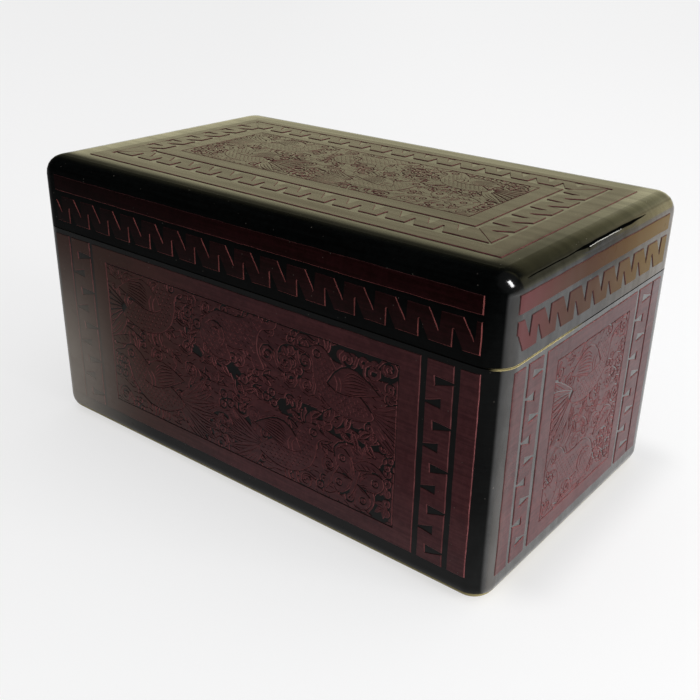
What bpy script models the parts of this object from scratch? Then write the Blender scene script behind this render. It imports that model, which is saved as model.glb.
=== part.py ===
"""Lacquered wooden tea box with a hinged lid, as an assembly of separate pieces.

The box is a butt-jointed and nailed wooden carcass under a thick coat of lacquer, one coat on the base and
one on the lid. A half-lapped grid of dividers stands loose inside, and two small brass stop hinges, let into
the back rims, carry the lid. Metres, +Z up, front at -Y, origin in the middle of the underside.
"""

import math

import bmesh
import bpy
from mathutils import Matrix, Vector

MM = 0.001

# Outside of the closed box, over the lacquer
BOX_LENGTH = 250 * MM
BOX_DEPTH = 144.6 * MM
BASE_HEIGHT = 97.65 * MM
LID_HEIGHT = 32.55 * MM
SEAM_GAP = 0.5 * MM
CORNER_RADIUS = 10 * MM
TOP_EDGE_RADIUS = 8.2 * MM
FOOT_EDGE_RADIUS = 8 * MM

# Lacquer and wood
COAT = 1 * MM
COAT_END = math.radians(60)
BARE_FOOT = 0.8 * MM
WALL_BOARD = 9 * MM
BOTTOM_BOARD = 7 * MM
LID_TOP_BOARD = 8 * MM
JOINT_GAP = 0.3 * MM

# Divider grid
DIVIDER_BOARD = 4 * MM
DIVIDER_HEIGHT = 62 * MM
DIVIDER_PLAY = 0.5 * MM
CROSS_DIVIDERS = 2

# Hinges
HINGE_INSET = 50 * MM
LEAF_WIDTH = 34 * MM
LEAF_REACH = 7.5 * MM
LEAF = 1 * MM
EAR_WIDTH = 4.5 * MM
EAR_LENGTH = 4 * MM
BARREL_RADIUS = 2.2 * MM
BARREL_STANDOFF = 0.8 * MM
MIDDLE_KNUCKLE = 8 * MM
KNUCKLE_GAP = 0.3 * MM
PIN_RADIUS = 1.1 * MM
PIN_PLAY = 0.1 * MM
MORTISE_PLAY = 0.3 * MM
LID_OPENING = math.radians(100)
STOP_MARGIN = math.radians(1)

# Hinge screws, placed from the leaf's inner edge and ends
SCREW_EDGE = 3 * MM
SCREW_END = 7 * MM
SCREW_LENGTH = 8 * MM
SCREW_RADIUS = 0.9 * MM
SCREW_HEAD_RADIUS = 1.7 * MM
SCREW_HEAD_DEPTH = 0.7 * MM
SCREW_SLOT = 0.4 * MM
SCREW_SINK = 0.1 * MM
SCREW_PLAY = 0.15 * MM

# Nails
NAIL_RADIUS = 0.8 * MM
NAIL_HEAD_RADIUS = 1.7 * MM
NAIL_HEAD = 0.8 * MM
NAIL_TIP = 2 * MM
NAIL_BITE = 14 * MM
LID_TOP_NAIL_BITE = 10 * MM
NAIL_SINK = 0.4 * MM
NAIL_PLAY = 0.2 * MM

# Facets
CORNER_STEPS = 8
EDGE_STEPS = 6
ROUND_STEPS = 16
SMOOTH_ANGLE = math.radians(32)

# Places worked out from the sizes above. Each fillet is limited by the board behind it.
BOX_HEIGHT = BASE_HEIGHT + SEAM_GAP + LID_HEIGHT
SEAM_HEIGHT = BASE_HEIGHT + SEAM_GAP / 2
LID_RIM = BASE_HEIGHT + SEAM_GAP
WOOD_INSET = COAT + JOINT_GAP
WOOD_LENGTH = BOX_LENGTH - 2 * WOOD_INSET
WOOD_DEPTH = BOX_DEPTH - 2 * WOOD_INSET
CORNER = min(CORNER_RADIUS, WALL_BOARD + WOOD_INSET)
TOP_EDGE = min(TOP_EDGE_RADIUS, CORNER - JOINT_GAP, LID_TOP_BOARD + WOOD_INSET - JOINT_GAP)
FOOT_EDGE = min(FOOT_EDGE_RADIUS, CORNER - JOINT_GAP, BOTTOM_BOARD + WOOD_INSET)
WALL_FOOT = BOTTOM_BOARD + JOINT_GAP
LID_CEILING = BOX_HEIGHT - WOOD_INSET - LID_TOP_BOARD
RAIL_TOP = LID_CEILING - JOINT_GAP
WALL_CENTRE_X = WOOD_LENGTH / 2 - WALL_BOARD / 2
WALL_CENTRE_Y = WOOD_DEPTH / 2 - WALL_BOARD / 2
INNER_LENGTH = WOOD_LENGTH - 2 * WALL_BOARD
INNER_DEPTH = WOOD_DEPTH - 2 * WALL_BOARD
PIN_BEHIND = BARREL_STANDOFF + BARREL_RADIUS
PIVOT = Vector((0, BOX_DEPTH / 2 + PIN_BEHIND, SEAM_HEIGHT))
KNUCKLE_REACH = LEAF_WIDTH / 2 - EAR_WIDTH - KNUCKLE_GAP
KNUCKLE_CLEAR = BARREL_RADIUS + KNUCKLE_GAP
EAR_ANGLE = (LID_OPENING + STOP_MARGIN) / 2


def clear_scene():
    for old in list(bpy.data.objects):
        bpy.data.objects.remove(old)


def make_material(name, colour, roughness, metallic=0.0):
    material = bpy.data.materials.new(name)
    material.use_nodes = True
    shader = material.node_tree.nodes["Principled BSDF"]
    shader.inputs["Base Color"].default_value = (*colour, 1)
    shader.inputs["Roughness"].default_value = roughness
    shader.inputs["Metallic"].default_value = metallic
    return material


def make_empty(name, place):
    empty = bpy.data.objects.new(name, None)
    empty.location = place
    bpy.context.scene.collection.objects.link(empty)
    return empty


def make_object(name, mesh, body, place, material):
    """An object with its origin at a world place, carried by the empty of its body."""
    piece = bpy.data.objects.new(name, mesh)
    bpy.context.scene.collection.objects.link(piece)
    piece.parent = body
    piece.location = Vector(place) - body.location
    if not mesh.materials:
        mesh.materials.append(material)
    return piece


def world_place(piece):
    return piece.location + piece.parent.location


def shade(mesh):
    mesh.shade_smooth()
    mesh.set_sharp_from_angle(angle=SMOOTH_ANGLE)
    return mesh


def to_mesh(shape, name):
    """A bmesh turned into a mesh with its faces pointing out and its round faces smooth."""
    bmesh.ops.recalc_face_normals(shape, faces=shape.faces)
    mesh = bpy.data.meshes.new(name)
    shape.to_mesh(mesh)
    shape.free()
    return shade(mesh)


def combine(mesh, shapes, operation):
    """A new mesh with shapes joined to it or cut out of it, each given with its place in the mesh's own space."""
    link = bpy.context.scene.collection.objects.link
    piece = bpy.data.objects.new("combined", mesh)
    link(piece)
    others = []
    for shape, place in shapes:
        other = bpy.data.objects.new("other", to_mesh(shape, "other"))
        other.location = place
        link(other)
        change = piece.modifiers.new("combine", "BOOLEAN")
        change.operation = operation
        change.object = other
        others.append(other)
    bpy.context.view_layer.update()
    seen = piece.evaluated_get(bpy.context.evaluated_depsgraph_get())
    made = bpy.data.meshes.new_from_object(seen)
    made.name = mesh.name
    for used in others + [piece]:
        bpy.data.objects.remove(used)
    return shade(made)


# Plain shapes


def loft(rings, closed=False):
    """A solid through rings of points, capped at both ends, or closed on itself as a tube's wall."""
    shape = bmesh.new()
    loops = [[shape.verts.new(point) for point in ring] for ring in rings]
    pairs = list(zip(loops, loops[1:]))
    if closed:
        pairs.append((loops[-1], loops[0]))
    for low, high in pairs:
        for i in range(len(low)):
            j = (i + 1) % len(low)
            shape.faces.new((low[i], low[j], high[j], high[i]))
    if not closed:
        shape.faces.new(loops[0])
        shape.faces.new(loops[-1])
    return shape


def arc(centre, radius, start, end, steps):
    turns = [start + (end - start) * i / steps for i in range(steps + 1)]
    return [(centre[0] + radius * math.cos(a), centre[1] + radius * math.sin(a)) for a in turns]


def rounded_ring(inset, height):
    """The box's outline seen from above, drawn in by an inset, at a height."""
    radius = CORNER - inset
    points = []
    for quarter, (side_x, side_y) in enumerate(((1, 1), (-1, 1), (-1, -1), (1, -1))):
        start = quarter * math.pi / 2
        corner = (side_x * (BOX_LENGTH / 2 - CORNER), side_y * (BOX_DEPTH / 2 - CORNER))
        points += arc(corner, radius, start, start + math.pi / 2, CORNER_STEPS)
    return [Vector((x, y, height)) for x, y in points]


def prism(outline, low, high):
    """An outline in the XY plane, carried from one height to another."""
    return loft([[Vector((x, y, z)) for x, y in outline] for z in (low, high)])


def block(size_x, size_y, size_z):
    x, y = size_x / 2, size_y / 2
    return prism([(-x, -y), (x, -y), (x, y), (-x, y)], -size_z / 2, size_z / 2)


def turned(profile):
    """A solid turned about Z from (radius, height) points."""
    rings = []
    for radius, height in profile:
        circle = arc((0, 0), radius, 0, 2 * math.pi, ROUND_STEPS)[:-1]
        rings.append([Vector((x, y, height)) for x, y in circle])
    return loft(rings)


def turn_shape(shape, angle, axis):
    bmesh.ops.rotate(shape, verts=shape.verts, matrix=Matrix.Rotation(angle, 3, axis))
    return shape


def fall(radius, from_edge):
    """How far an edge rounded to a radius has dropped below the flat, at a distance in from the edge."""
    short = max(radius - from_edge, 0)
    return radius - math.sqrt(radius**2 - short**2)


# Lacquer coats


def foot_curve(inset, height):
    """Rings of the base's rounded foot, drawn in by an inset, from the coat's lower end up to a height."""
    radius = FOOT_EDGE - inset
    top = math.asin(max(FOOT_EDGE - height, 0) / radius)
    rings = []
    for i in range(EDGE_STEPS + 1):
        angle = COAT_END + (top - COAT_END) * i / EDGE_STEPS
        rings.append(rounded_ring(FOOT_EDGE - radius * math.cos(angle), FOOT_EDGE - radius * math.sin(angle)))
    return rings


def base_coat(body, lacquer):
    """The lacquer round the base's four walls, from under the rounded foot to the rim."""
    rim = [rounded_ring(0, BASE_HEIGHT), rounded_ring(COAT, BASE_HEIGHT)]
    rings = foot_curve(0, FOOT_EDGE) + rim + foot_curve(COAT, FOOT_EDGE)[::-1]
    mesh = to_mesh(loft(rings, closed=True), "base_lacquer_coat")
    mesh = combine(mesh, leaf_mortises(Vector()), "DIFFERENCE")
    make_object("base_lacquer_coat", mesh, body, (0, 0, 0), lacquer)


def lid_dome(inset, foot):
    """Rings of the lid's outside, drawn in by an inset, from a foot up to the flat of the top."""
    radius = TOP_EDGE - inset
    spring = BOX_HEIGHT - TOP_EDGE
    rings = [rounded_ring(inset, foot)]
    for i in range(EDGE_STEPS + 1):
        angle = math.pi / 2 * i / EDGE_STEPS
        rings.append(rounded_ring(inset + radius * (1 - math.cos(angle)), spring + radius * math.sin(angle)))
    return rings


def lid_coat(body, lacquer):
    """The lacquer over the lid's top and four sides, open below."""
    rings = lid_dome(COAT, LID_RIM)[::-1] + lid_dome(0, LID_RIM)
    mesh = to_mesh(loft(rings), "lid_lacquer_coat")
    mesh = combine(mesh, leaf_mortises(Vector()), "DIFFERENCE")
    make_object("lid_lacquer_coat", mesh, body, (0, 0, 0), lacquer)


# Boards


def long_board(name, side, low, high, body, wood):
    """A front (side -1) or back (side 1) board, full length, rounded at its two outer corners."""
    x, y = WOOD_LENGTH / 2, WALL_BOARD / 2
    radius = CORNER - WOOD_INSET
    right = arc((x - radius, y - radius), radius, 0, math.pi / 2, CORNER_STEPS)
    rounded = right + [(-px, py) for px, py in right[::-1]]
    outline = [(-x, -y), (x, -y)]
    if radius < WALL_BOARD:
        outline += rounded
    else:
        outline += rounded[1:-1]
    shape = prism(outline, -(high - low) / 2, (high - low) / 2)
    if side < 0:
        turn_shape(shape, math.pi, "Z")
    place = (0, side * WALL_CENTRE_Y, (low + high) / 2)
    return make_object(name, to_mesh(shape, name), body, place, wood)


def end_board(name, side, low, high, body, wood):
    """A left (side -1) or right (side 1) board, butted between the front and back boards."""
    shape = block(WALL_BOARD, INNER_DEPTH - 2 * JOINT_GAP, high - low)
    place = (side * WALL_CENTRE_X, 0, (low + high) / 2)
    return make_object(name, to_mesh(shape, name), body, place, wood)


def walls(prefix, kind, low, high, body, wood):
    """Four boards that make a frame: two long ones and two ends between them."""
    made = {}
    for word, side in (("front", -1), ("back", 1)):
        made[word] = long_board(f"{prefix}_{word}_{kind}", side, low, high, body, wood)
    for word, side in (("left", -1), ("right", 1)):
        made[word] = end_board(f"{prefix}_{word}_{kind}", side, low, high, body, wood)
    return made


def bottom_board(body, wood):
    """One board under all four walls, rounded under at its edges and bare where it stands."""
    bare = FOOT_EDGE - (FOOT_EDGE - WOOD_INSET) * math.cos(COAT_END) + BARE_FOOT
    rings = [rounded_ring(bare, 0)] + foot_curve(WOOD_INSET, BOTTOM_BOARD)
    if BOTTOM_BOARD > FOOT_EDGE:
        rings.append(rounded_ring(WOOD_INSET, BOTTOM_BOARD))
    mesh = to_mesh(loft(rings), "base_bottom_board")
    return make_object("base_bottom_board", mesh, body, (0, 0, 0), wood)


def lid_top_board(body, wood):
    """One board over the four rails, rounded over at its upper edges."""
    mesh = to_mesh(loft(lid_dome(WOOD_INSET, LID_CEILING)), "lid_top_board")
    return make_object("lid_top_board", mesh, body, (0, 0, 0), wood)


# Divider grid


def cross_places():
    """Where the cross dividers stand along the box, in equal bays."""
    bay = INNER_LENGTH / (CROSS_DIVIDERS + 1)
    return [bay * (i + 1) - INNER_LENGTH / 2 for i in range(CROSS_DIVIDERS)]


def divider_mesh(name, length, notches, notch_side):
    """A thin board with half-lap notches, cut down from its top (side 1) or up from its foot (side -1)."""
    lap = DIVIDER_HEIGHT / 2 + DIVIDER_PLAY / 2
    slot = DIVIDER_BOARD + 2 * JOINT_GAP
    cutters = []
    for x in notches:
        notch = block(slot, 2 * DIVIDER_BOARD, 2 * lap)
        cutters.append((notch, (x, 0, notch_side * DIVIDER_HEIGHT / 2)))
    mesh = to_mesh(block(length, DIVIDER_BOARD, DIVIDER_HEIGHT), name)
    return combine(mesh, cutters, "DIFFERENCE")


def divider_grid(body, wood):
    """One long divider and the cross dividers, standing loose on the bottom board."""
    middle = WALL_FOOT + DIVIDER_HEIGHT / 2
    length = INNER_LENGTH - 2 * DIVIDER_PLAY
    mesh = divider_mesh("long_divider", length, cross_places(), 1)
    make_object("long_divider", mesh, body, (0, 0, middle), wood)
    mesh = divider_mesh("cross_divider", INNER_DEPTH - 2 * DIVIDER_PLAY, [0], -1)
    for i, x in enumerate(cross_places()):
        cross = make_object(f"cross_divider_{i + 1}", mesh, body, (x, 0, middle), wood)
        cross.rotation_euler = (0, 0, math.pi / 2)


# Nails


def nail_shape(length):
    """A wire nail standing on its point, with the top of its head at the origin."""
    return turned(
        [
            (NAIL_RADIUS / 4, -length),
            (NAIL_RADIUS, -length + NAIL_TIP),
            (NAIL_RADIUS, -NAIL_HEAD),
            (NAIL_HEAD_RADIUS, -NAIL_HEAD),
            (NAIL_HEAD_RADIUS, 0),
        ]
    )


def nail_hole(length, sink):
    """The hole that a nail sits in: a shank hole, and a wider one from its head out to the open face."""
    wide = NAIL_HEAD_RADIUS + NAIL_PLAY
    narrow = NAIL_RADIUS + NAIL_PLAY
    step = -NAIL_HEAD - NAIL_PLAY
    return turned([(narrow, -length - NAIL_PLAY), (narrow, step), (wide, step), (wide, sink + NAIL_HEAD)])


def drive_nails(stem, places, direction, sink, length, boards, cuts, steel):
    """Nails whose heads lie at world places, driven along a direction, and a hole for each in every board."""
    turn = Vector((0, 0, -1)).rotation_difference(Vector(direction))
    mesh = to_mesh(nail_shape(length), stem)
    for index, place in enumerate(places):
        nail = make_object(f"{stem}_{index + 1}", mesh, boards[0].parent, place, steel)
        nail.rotation_euler = turn.to_euler()
        for board in boards:
            hole = nail_hole(length, sink)
            bmesh.ops.rotate(hole, verts=hole.verts, matrix=turn.to_matrix())
            cuts.setdefault(board, []).append((hole, Vector(place) - world_place(board)))


def corner_nails(prefix, heights, made, cuts, steel):
    """Nails through the front and back boards into the ends' end grain, sunk below the rounded corner."""
    sink = NAIL_SINK + fall(CORNER - WOOD_INSET, WALL_BOARD / 2 - NAIL_HEAD_RADIUS)
    length = WALL_BOARD - sink + JOINT_GAP + NAIL_BITE
    for word, side in (("front", -1), ("back", 1)):
        reach = side * (WOOD_DEPTH / 2 - sink)
        for end, end_side in (("left", -1), ("right", 1)):
            places = [Vector((end_side * WALL_CENTRE_X, reach, z)) for z in heights]
            stem = f"{prefix}_{word}_{end}_nail"
            drive_nails(stem, places, (0, -side, 0), sink, length, [made[word], made[end]], cuts, steel)


def bottom_nails(bottom, made, cuts, steel):
    """Nails up through the bottom board into the walls' lower edges, sunk above the rounded foot."""
    third = WOOD_LENGTH / 3
    sink = NAIL_SINK + WOOD_INSET + fall(FOOT_EDGE - WOOD_INSET, WALL_BOARD / 2 - NAIL_HEAD_RADIUS)
    length = BOTTOM_BOARD - sink + JOINT_GAP + NAIL_BITE
    rows = {
        "front": [(x, -WALL_CENTRE_Y) for x in (-third, 0, third)],
        "back": [(x, WALL_CENTRE_Y) for x in (-third, 0, third)],
        "left": [(-WALL_CENTRE_X, 0)],
        "right": [(WALL_CENTRE_X, 0)],
    }
    for word, row in rows.items():
        places = [Vector((x, y, sink)) for x, y in row]
        boards = [bottom, made[word]]
        drive_nails(f"bottom_{word}_nail", places, (0, 0, 1), sink, length, boards, cuts, steel)


def lid_top_nails(top, made, cuts, steel):
    """Nails down through the top board into the long rails, sunk below the rounded edge."""
    third = WOOD_LENGTH / 3
    sink = NAIL_SINK + fall(TOP_EDGE - WOOD_INSET, WALL_BOARD / 2 - NAIL_HEAD_RADIUS)
    length = LID_TOP_BOARD - sink + JOINT_GAP + LID_TOP_NAIL_BITE
    height = BOX_HEIGHT - WOOD_INSET - sink
    for word, side in (("front", -1), ("back", 1)):
        places = [Vector((x, side * WALL_CENTRE_Y, height)) for x in (-third, third)]
        stem = f"lid_top_{word}_nail"
        drive_nails(stem, places, (0, 0, -1), sink, length, [top, made[word]], cuts, steel)


# Hinges


def hinge_places():
    """Where the hinges' middles lie along the box, each an inset from its own end."""
    reach = BOX_LENGTH / 2 - HINGE_INSET
    return {"left": -reach, "right": reach}


def leaf_middle(side):
    """The height of a leaf's middle, below (side -1) or above (side 1) the pin."""
    return side * (SEAM_GAP + LEAF) / 2


def leaf_mortises(origin):
    """Cutters that let the leaves into the rims, measured from a piece's own origin."""
    depth = PIN_BEHIND + LEAF_REACH + MORTISE_PLAY
    height = SEAM_GAP + 2 * (LEAF + MORTISE_PLAY)
    cutters = []
    for x in hinge_places().values():
        cutter = block(LEAF_WIDTH + 2 * MORTISE_PLAY, depth, height)
        cutters.append((cutter, Vector((x, PIVOT.y - depth / 2, PIVOT.z)) - origin))
    return cutters


def along_pin(radius, low, high):
    """A round bar along the hinge's axis, and the place of its middle."""
    half = (high - low) / 2
    bar = turn_shape(turned([(radius, -half), (radius, half)]), math.pi / 2, "Y")
    return bar, ((low + high) / 2, 0, 0)


def knuckle_spans(side):
    """Where a leaf's knuckles lie along the pin: two outer ones on the base, one between them on the lid."""
    half = MIDDLE_KNUCKLE / 2
    if side > 0:
        return [(-half, half)]
    inner = half + KNUCKLE_GAP
    return [(-KNUCKLE_REACH, -inner), (inner, KNUCKLE_REACH)]


def knuckle(low, high, side):
    """A knuckle and the tab that ties it to the leaf."""
    depth = KNUCKLE_CLEAR + LEAF
    tab = block(high - low, depth, LEAF)
    return [(tab, ((low + high) / 2, -depth / 2, leaf_middle(side))), along_pin(BARREL_RADIUS, low, high)]


def ear(end, side):
    """The bent end of a leaf behind the pin, whose face meets the other leaf's ear when the lid is open."""
    seam = SEAM_GAP / 2
    c, s = math.cos(EAR_ANGLE), math.sin(EAR_ANGLE)
    bend = seam * c / s
    outline = [
        (-KNUCKLE_CLEAR - LEAF, seam),
        (bend, seam),
        (EAR_LENGTH * c, EAR_LENGTH * s),
        (EAR_LENGTH * c - LEAF * s, EAR_LENGTH * s + LEAF * c),
        (bend - LEAF * (1 - c) / s, seam + LEAF),
        (-KNUCKLE_CLEAR - LEAF, seam + LEAF),
    ]
    shape = prism(outline, -EAR_WIDTH / 2, EAR_WIDTH / 2)
    stand = Matrix(((0, 0, 1), (1, 0, 0), (0, side, 0)))
    for vert in shape.verts:
        vert.co = stand @ vert.co
    return shape, (end * (LEAF_WIDTH - EAR_WIDTH) / 2, 0, 0)


def screw_places(side):
    """The heads of a leaf's screws, measured from the hinge's own middle."""
    y = -PIN_BEHIND - LEAF_REACH + SCREW_EDGE
    reach = LEAF_WIDTH / 2 - SCREW_END
    return [Vector((x, y, side * SEAM_GAP / 2)) for x in (-reach, reach)]


def leaf_mesh(side):
    """One stamped leaf with its knuckles, its two stop ears and its screw holes, about the pin's middle."""
    depth = PIN_BEHIND + LEAF_REACH - KNUCKLE_CLEAR
    plate = block(LEAF_WIDTH, depth, LEAF)
    shift = Vector((0, -KNUCKLE_CLEAR - depth / 2, leaf_middle(side)))
    bmesh.ops.translate(plate, verts=plate.verts, vec=shift)
    added = [ear(end, side) for end in (-1, 1)]
    for low, high in knuckle_spans(side):
        added += knuckle(low, high, side)
    mesh = combine(to_mesh(plate, "hinge_leaf"), added, "UNION")
    clear_of_ears = KNUCKLE_REACH + KNUCKLE_GAP / 2
    cutters = [along_pin(PIN_RADIUS + PIN_PLAY, -clear_of_ears, clear_of_ears)]
    cutters += [(screw_hole(side), place) for place in screw_places(side)]
    return combine(mesh, cutters, "DIFFERENCE")


def screw_profile(play):
    """Half a countersunk wood screw from its point up, grown by a play for the hole that it sits in."""
    head = -SCREW_SINK
    point = head - SCREW_LENGTH - play
    return [
        (SCREW_RADIUS / 4 + play, point),
        (SCREW_RADIUS + play, point + 2 * SCREW_RADIUS),
        (SCREW_RADIUS + play, head - SCREW_HEAD_DEPTH - play),
        (SCREW_HEAD_RADIUS + play, head),
    ]


def screw_mesh():
    """A slotted screw standing on its point, with the leaf's face at its origin."""
    slot = block(4 * SCREW_HEAD_RADIUS, SCREW_SLOT, SCREW_HEAD_DEPTH)
    mesh = to_mesh(turned(screw_profile(0)), "hinge_screw")
    return combine(mesh, [(slot, (0, 0, -SCREW_SINK))], "DIFFERENCE")


def screw_hole(side):
    """The countersunk hole of one screw, opening towards the seam."""
    mouth = (SCREW_HEAD_RADIUS + SCREW_PLAY, SEAM_GAP / 2)
    shape = turned(screw_profile(SCREW_PLAY) + [mouth])
    return shape if side < 0 else turn_shape(shape, math.pi, "X")


def hinges(bodies, backs, cuts, brass):
    """Two hinges: a leaf and two screws on each body, and a pin that stays with the base."""
    pin = to_mesh(along_pin(PIN_RADIUS, -KNUCKLE_REACH, KNUCKLE_REACH)[0], "hinge_pin")
    screw = screw_mesh()
    for kind, side in (("base", -1), ("lid", 1)):
        board = backs[kind]
        cuts.setdefault(board, []).extend(leaf_mortises(world_place(board)))
        leaf = leaf_mesh(side)
        for word, x in hinge_places().items():
            middle = PIVOT + Vector((x, 0, 0))
            stem = f"{word}_hinge_{kind}"
            make_object(f"{stem}_leaf", leaf, bodies[kind], middle, brass)
            for index, place in enumerate(screw_places(side)):
                driven = make_object(f"{stem}_screw_{index + 1}", screw, bodies[kind], middle + place, brass)
                if side > 0:
                    driven.rotation_euler = (math.pi, 0, 0)
                cuts[board].append((screw_hole(side), middle + place - world_place(board)))
    for word, x in hinge_places().items():
        make_object(f"{word}_hinge_pin", pin, bodies["base"], PIVOT + Vector((x, 0, 0)), brass)


# The whole box


def build():
    clear_scene()
    lacquer = make_material("black_lacquer", (0.012, 0.011, 0.012), 0.22)
    wood = make_material("linaloe_wood", (0.60, 0.44, 0.24), 0.6)
    brass = make_material("brass", (0.66, 0.48, 0.20), 0.35, 1.0)
    steel = make_material("nail_steel", (0.42, 0.41, 0.40), 0.45, 1.0)
    base = make_empty("base", (0, 0, 0))
    lid = make_empty("lid_pivot", PIVOT)

    base_coat(base, lacquer)
    bottom = bottom_board(base, wood)
    base_walls = walls("base", "board", WALL_FOOT, BASE_HEIGHT, base, wood)
    divider_grid(base, wood)

    lid_coat(lid, lacquer)
    top = lid_top_board(lid, wood)
    lid_walls = walls("lid", "rail", LID_RIM, RAIL_TOP, lid, wood)

    cuts = {}
    bodies = {"base": base, "lid": lid}
    hinges(bodies, {"base": base_walls["back"], "lid": lid_walls["back"]}, cuts, brass)
    quarter = (BASE_HEIGHT - WALL_FOOT) / 4
    corner_nails("base", [WALL_FOOT + quarter, BASE_HEIGHT - quarter], base_walls, cuts, steel)
    corner_nails("lid", [(LID_RIM + RAIL_TOP) / 2], lid_walls, cuts, steel)
    bottom_nails(bottom, base_walls, cuts, steel)
    lid_top_nails(top, lid_walls, cuts, steel)
    for board, cutters in cuts.items():
        board.data = combine(board.data, cutters, "DIFFERENCE")


build()
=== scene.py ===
"""Looks of a lacquered tea box: cut-through lacquer ornament, worn finishes, bare wood, brass and a stage.

The box is ground-coated in black and top-coated in dark maroon. The maroon is cut away round the ornament, so
every bar, zigzag, bird and leaf stands a little above the black. The cut walls are painted redder than the
tops as a painted highlight, and darker as painted shade where they face away from the light, on the top and
on the lid's ends.
Ornament is drawn flat, in millimetres, as outlines laid one over another, and is then laid onto a face.
"""

import cmath
import math
import random

import bmesh
import bpy
from bpy.props import FloatProperty, FloatVectorProperty, IntProperty, PointerProperty
from mathutils import Matrix, Vector, noise
from mathutils.geometry import area_tri, delaunay_2d_cdt


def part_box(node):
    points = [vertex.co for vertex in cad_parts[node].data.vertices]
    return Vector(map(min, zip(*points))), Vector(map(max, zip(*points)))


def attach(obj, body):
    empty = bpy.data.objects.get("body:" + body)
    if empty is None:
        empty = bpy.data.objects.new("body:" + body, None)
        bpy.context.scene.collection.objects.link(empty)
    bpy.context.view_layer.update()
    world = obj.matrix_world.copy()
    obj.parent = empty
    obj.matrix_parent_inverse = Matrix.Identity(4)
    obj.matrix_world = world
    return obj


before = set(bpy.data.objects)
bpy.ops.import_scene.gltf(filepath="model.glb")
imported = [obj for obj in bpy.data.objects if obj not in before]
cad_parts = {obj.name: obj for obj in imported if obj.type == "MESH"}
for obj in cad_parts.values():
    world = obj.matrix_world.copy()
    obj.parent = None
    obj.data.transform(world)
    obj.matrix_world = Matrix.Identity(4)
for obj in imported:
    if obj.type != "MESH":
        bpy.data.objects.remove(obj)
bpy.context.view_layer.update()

bl_info = {
    "name": "Lacquer Tea Box Looks",
    "version": (1, 0, 0),
    "blender": (4, 5, 0),
    "location": "3D View > Sidebar > Tea Box",
    "description": "Dresses the tea box's solids with cut lacquer ornament, worn finishes and a plain stage",
    "category": "Object",
}

MM = 0.001
BASE_LOW, BASE_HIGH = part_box("base_lacquer_coat")
LID_LOW, LID_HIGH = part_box("lid_lacquer_coat")
LENGTH = (LID_HIGH.x - LID_LOW.x) / MM
DEPTH = (LID_HIGH.y - LID_LOW.y) / MM
HEIGHT = LID_HIGH.z / MM


def rounding(axis, flat):
    """The fillet between two faces of the lid's coat, in millimetres, read from where its flat face ends."""
    corners = [v.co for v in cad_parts["lid_lacquer_coat"].data.vertices]
    face = [c for c in corners if abs(c[flat] - LID_HIGH[flat]) < 0.01 * MM]
    return (LID_HIGH[axis] - max(c[axis] for c in face)) / MM


CORNER_ROUND = rounding(1, 0)
TOP_ROUND = rounding(0, 2)


# Places inside the lid's sides, from millimetres to the frame's metres


def from_left(distance):
    return LID_LOW.x + distance * MM


def from_right(distance):
    return LID_HIGH.x - distance * MM


def from_front(distance):
    return LID_LOW.y + distance * MM


def from_back(distance):
    return LID_HIGH.y - distance * MM


def from_top(distance):
    return LID_HIGH.z - distance * MM


class TeaBoxOrnament(bpy.types.PropertyGroup):
    """Sizes of the raised ornament."""

    relief: FloatProperty(
        name="Relief", description="How far the maroon coat stands above the black",
        default=0.3 * MM, min=0.1 * MM, unit="LENGTH", precision=5)
    wall_run: FloatProperty(
        name="Wall run", description="How far a cut wall slopes outwards",
        default=0.26 * MM, min=0, unit="LENGTH", precision=5)
    lean: FloatProperty(
        name="Knife lean", description="How much more the walls slope on the side the knife leaned to",
        default=0.55, min=0, max=0.9)
    sink: FloatProperty(
        name="Sink", description="How far a wall's foot goes into the coat below",
        default=0.05 * MM, min=0, unit="LENGTH", precision=5)
    moat: FloatProperty(
        name="Moat", description="Width of the black line round a figure",
        default=0.5 * MM, min=0.2 * MM, unit="LENGTH", precision=5)
    wobble: FloatProperty(
        name="Wobble", description="How far a hand-cut line strays",
        default=0.2 * MM, min=0, unit="LENGTH", precision=5)
    gouge_pitch: FloatProperty(
        name="Gouge pitch", description="Distance between the small cuts that fill a field",
        default=3.5 * MM, min=2 * MM, unit="LENGTH", precision=5)
    seed: IntProperty(name="Seed", description="Changes the small cuts and the wobble", default=4, min=0)


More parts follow.
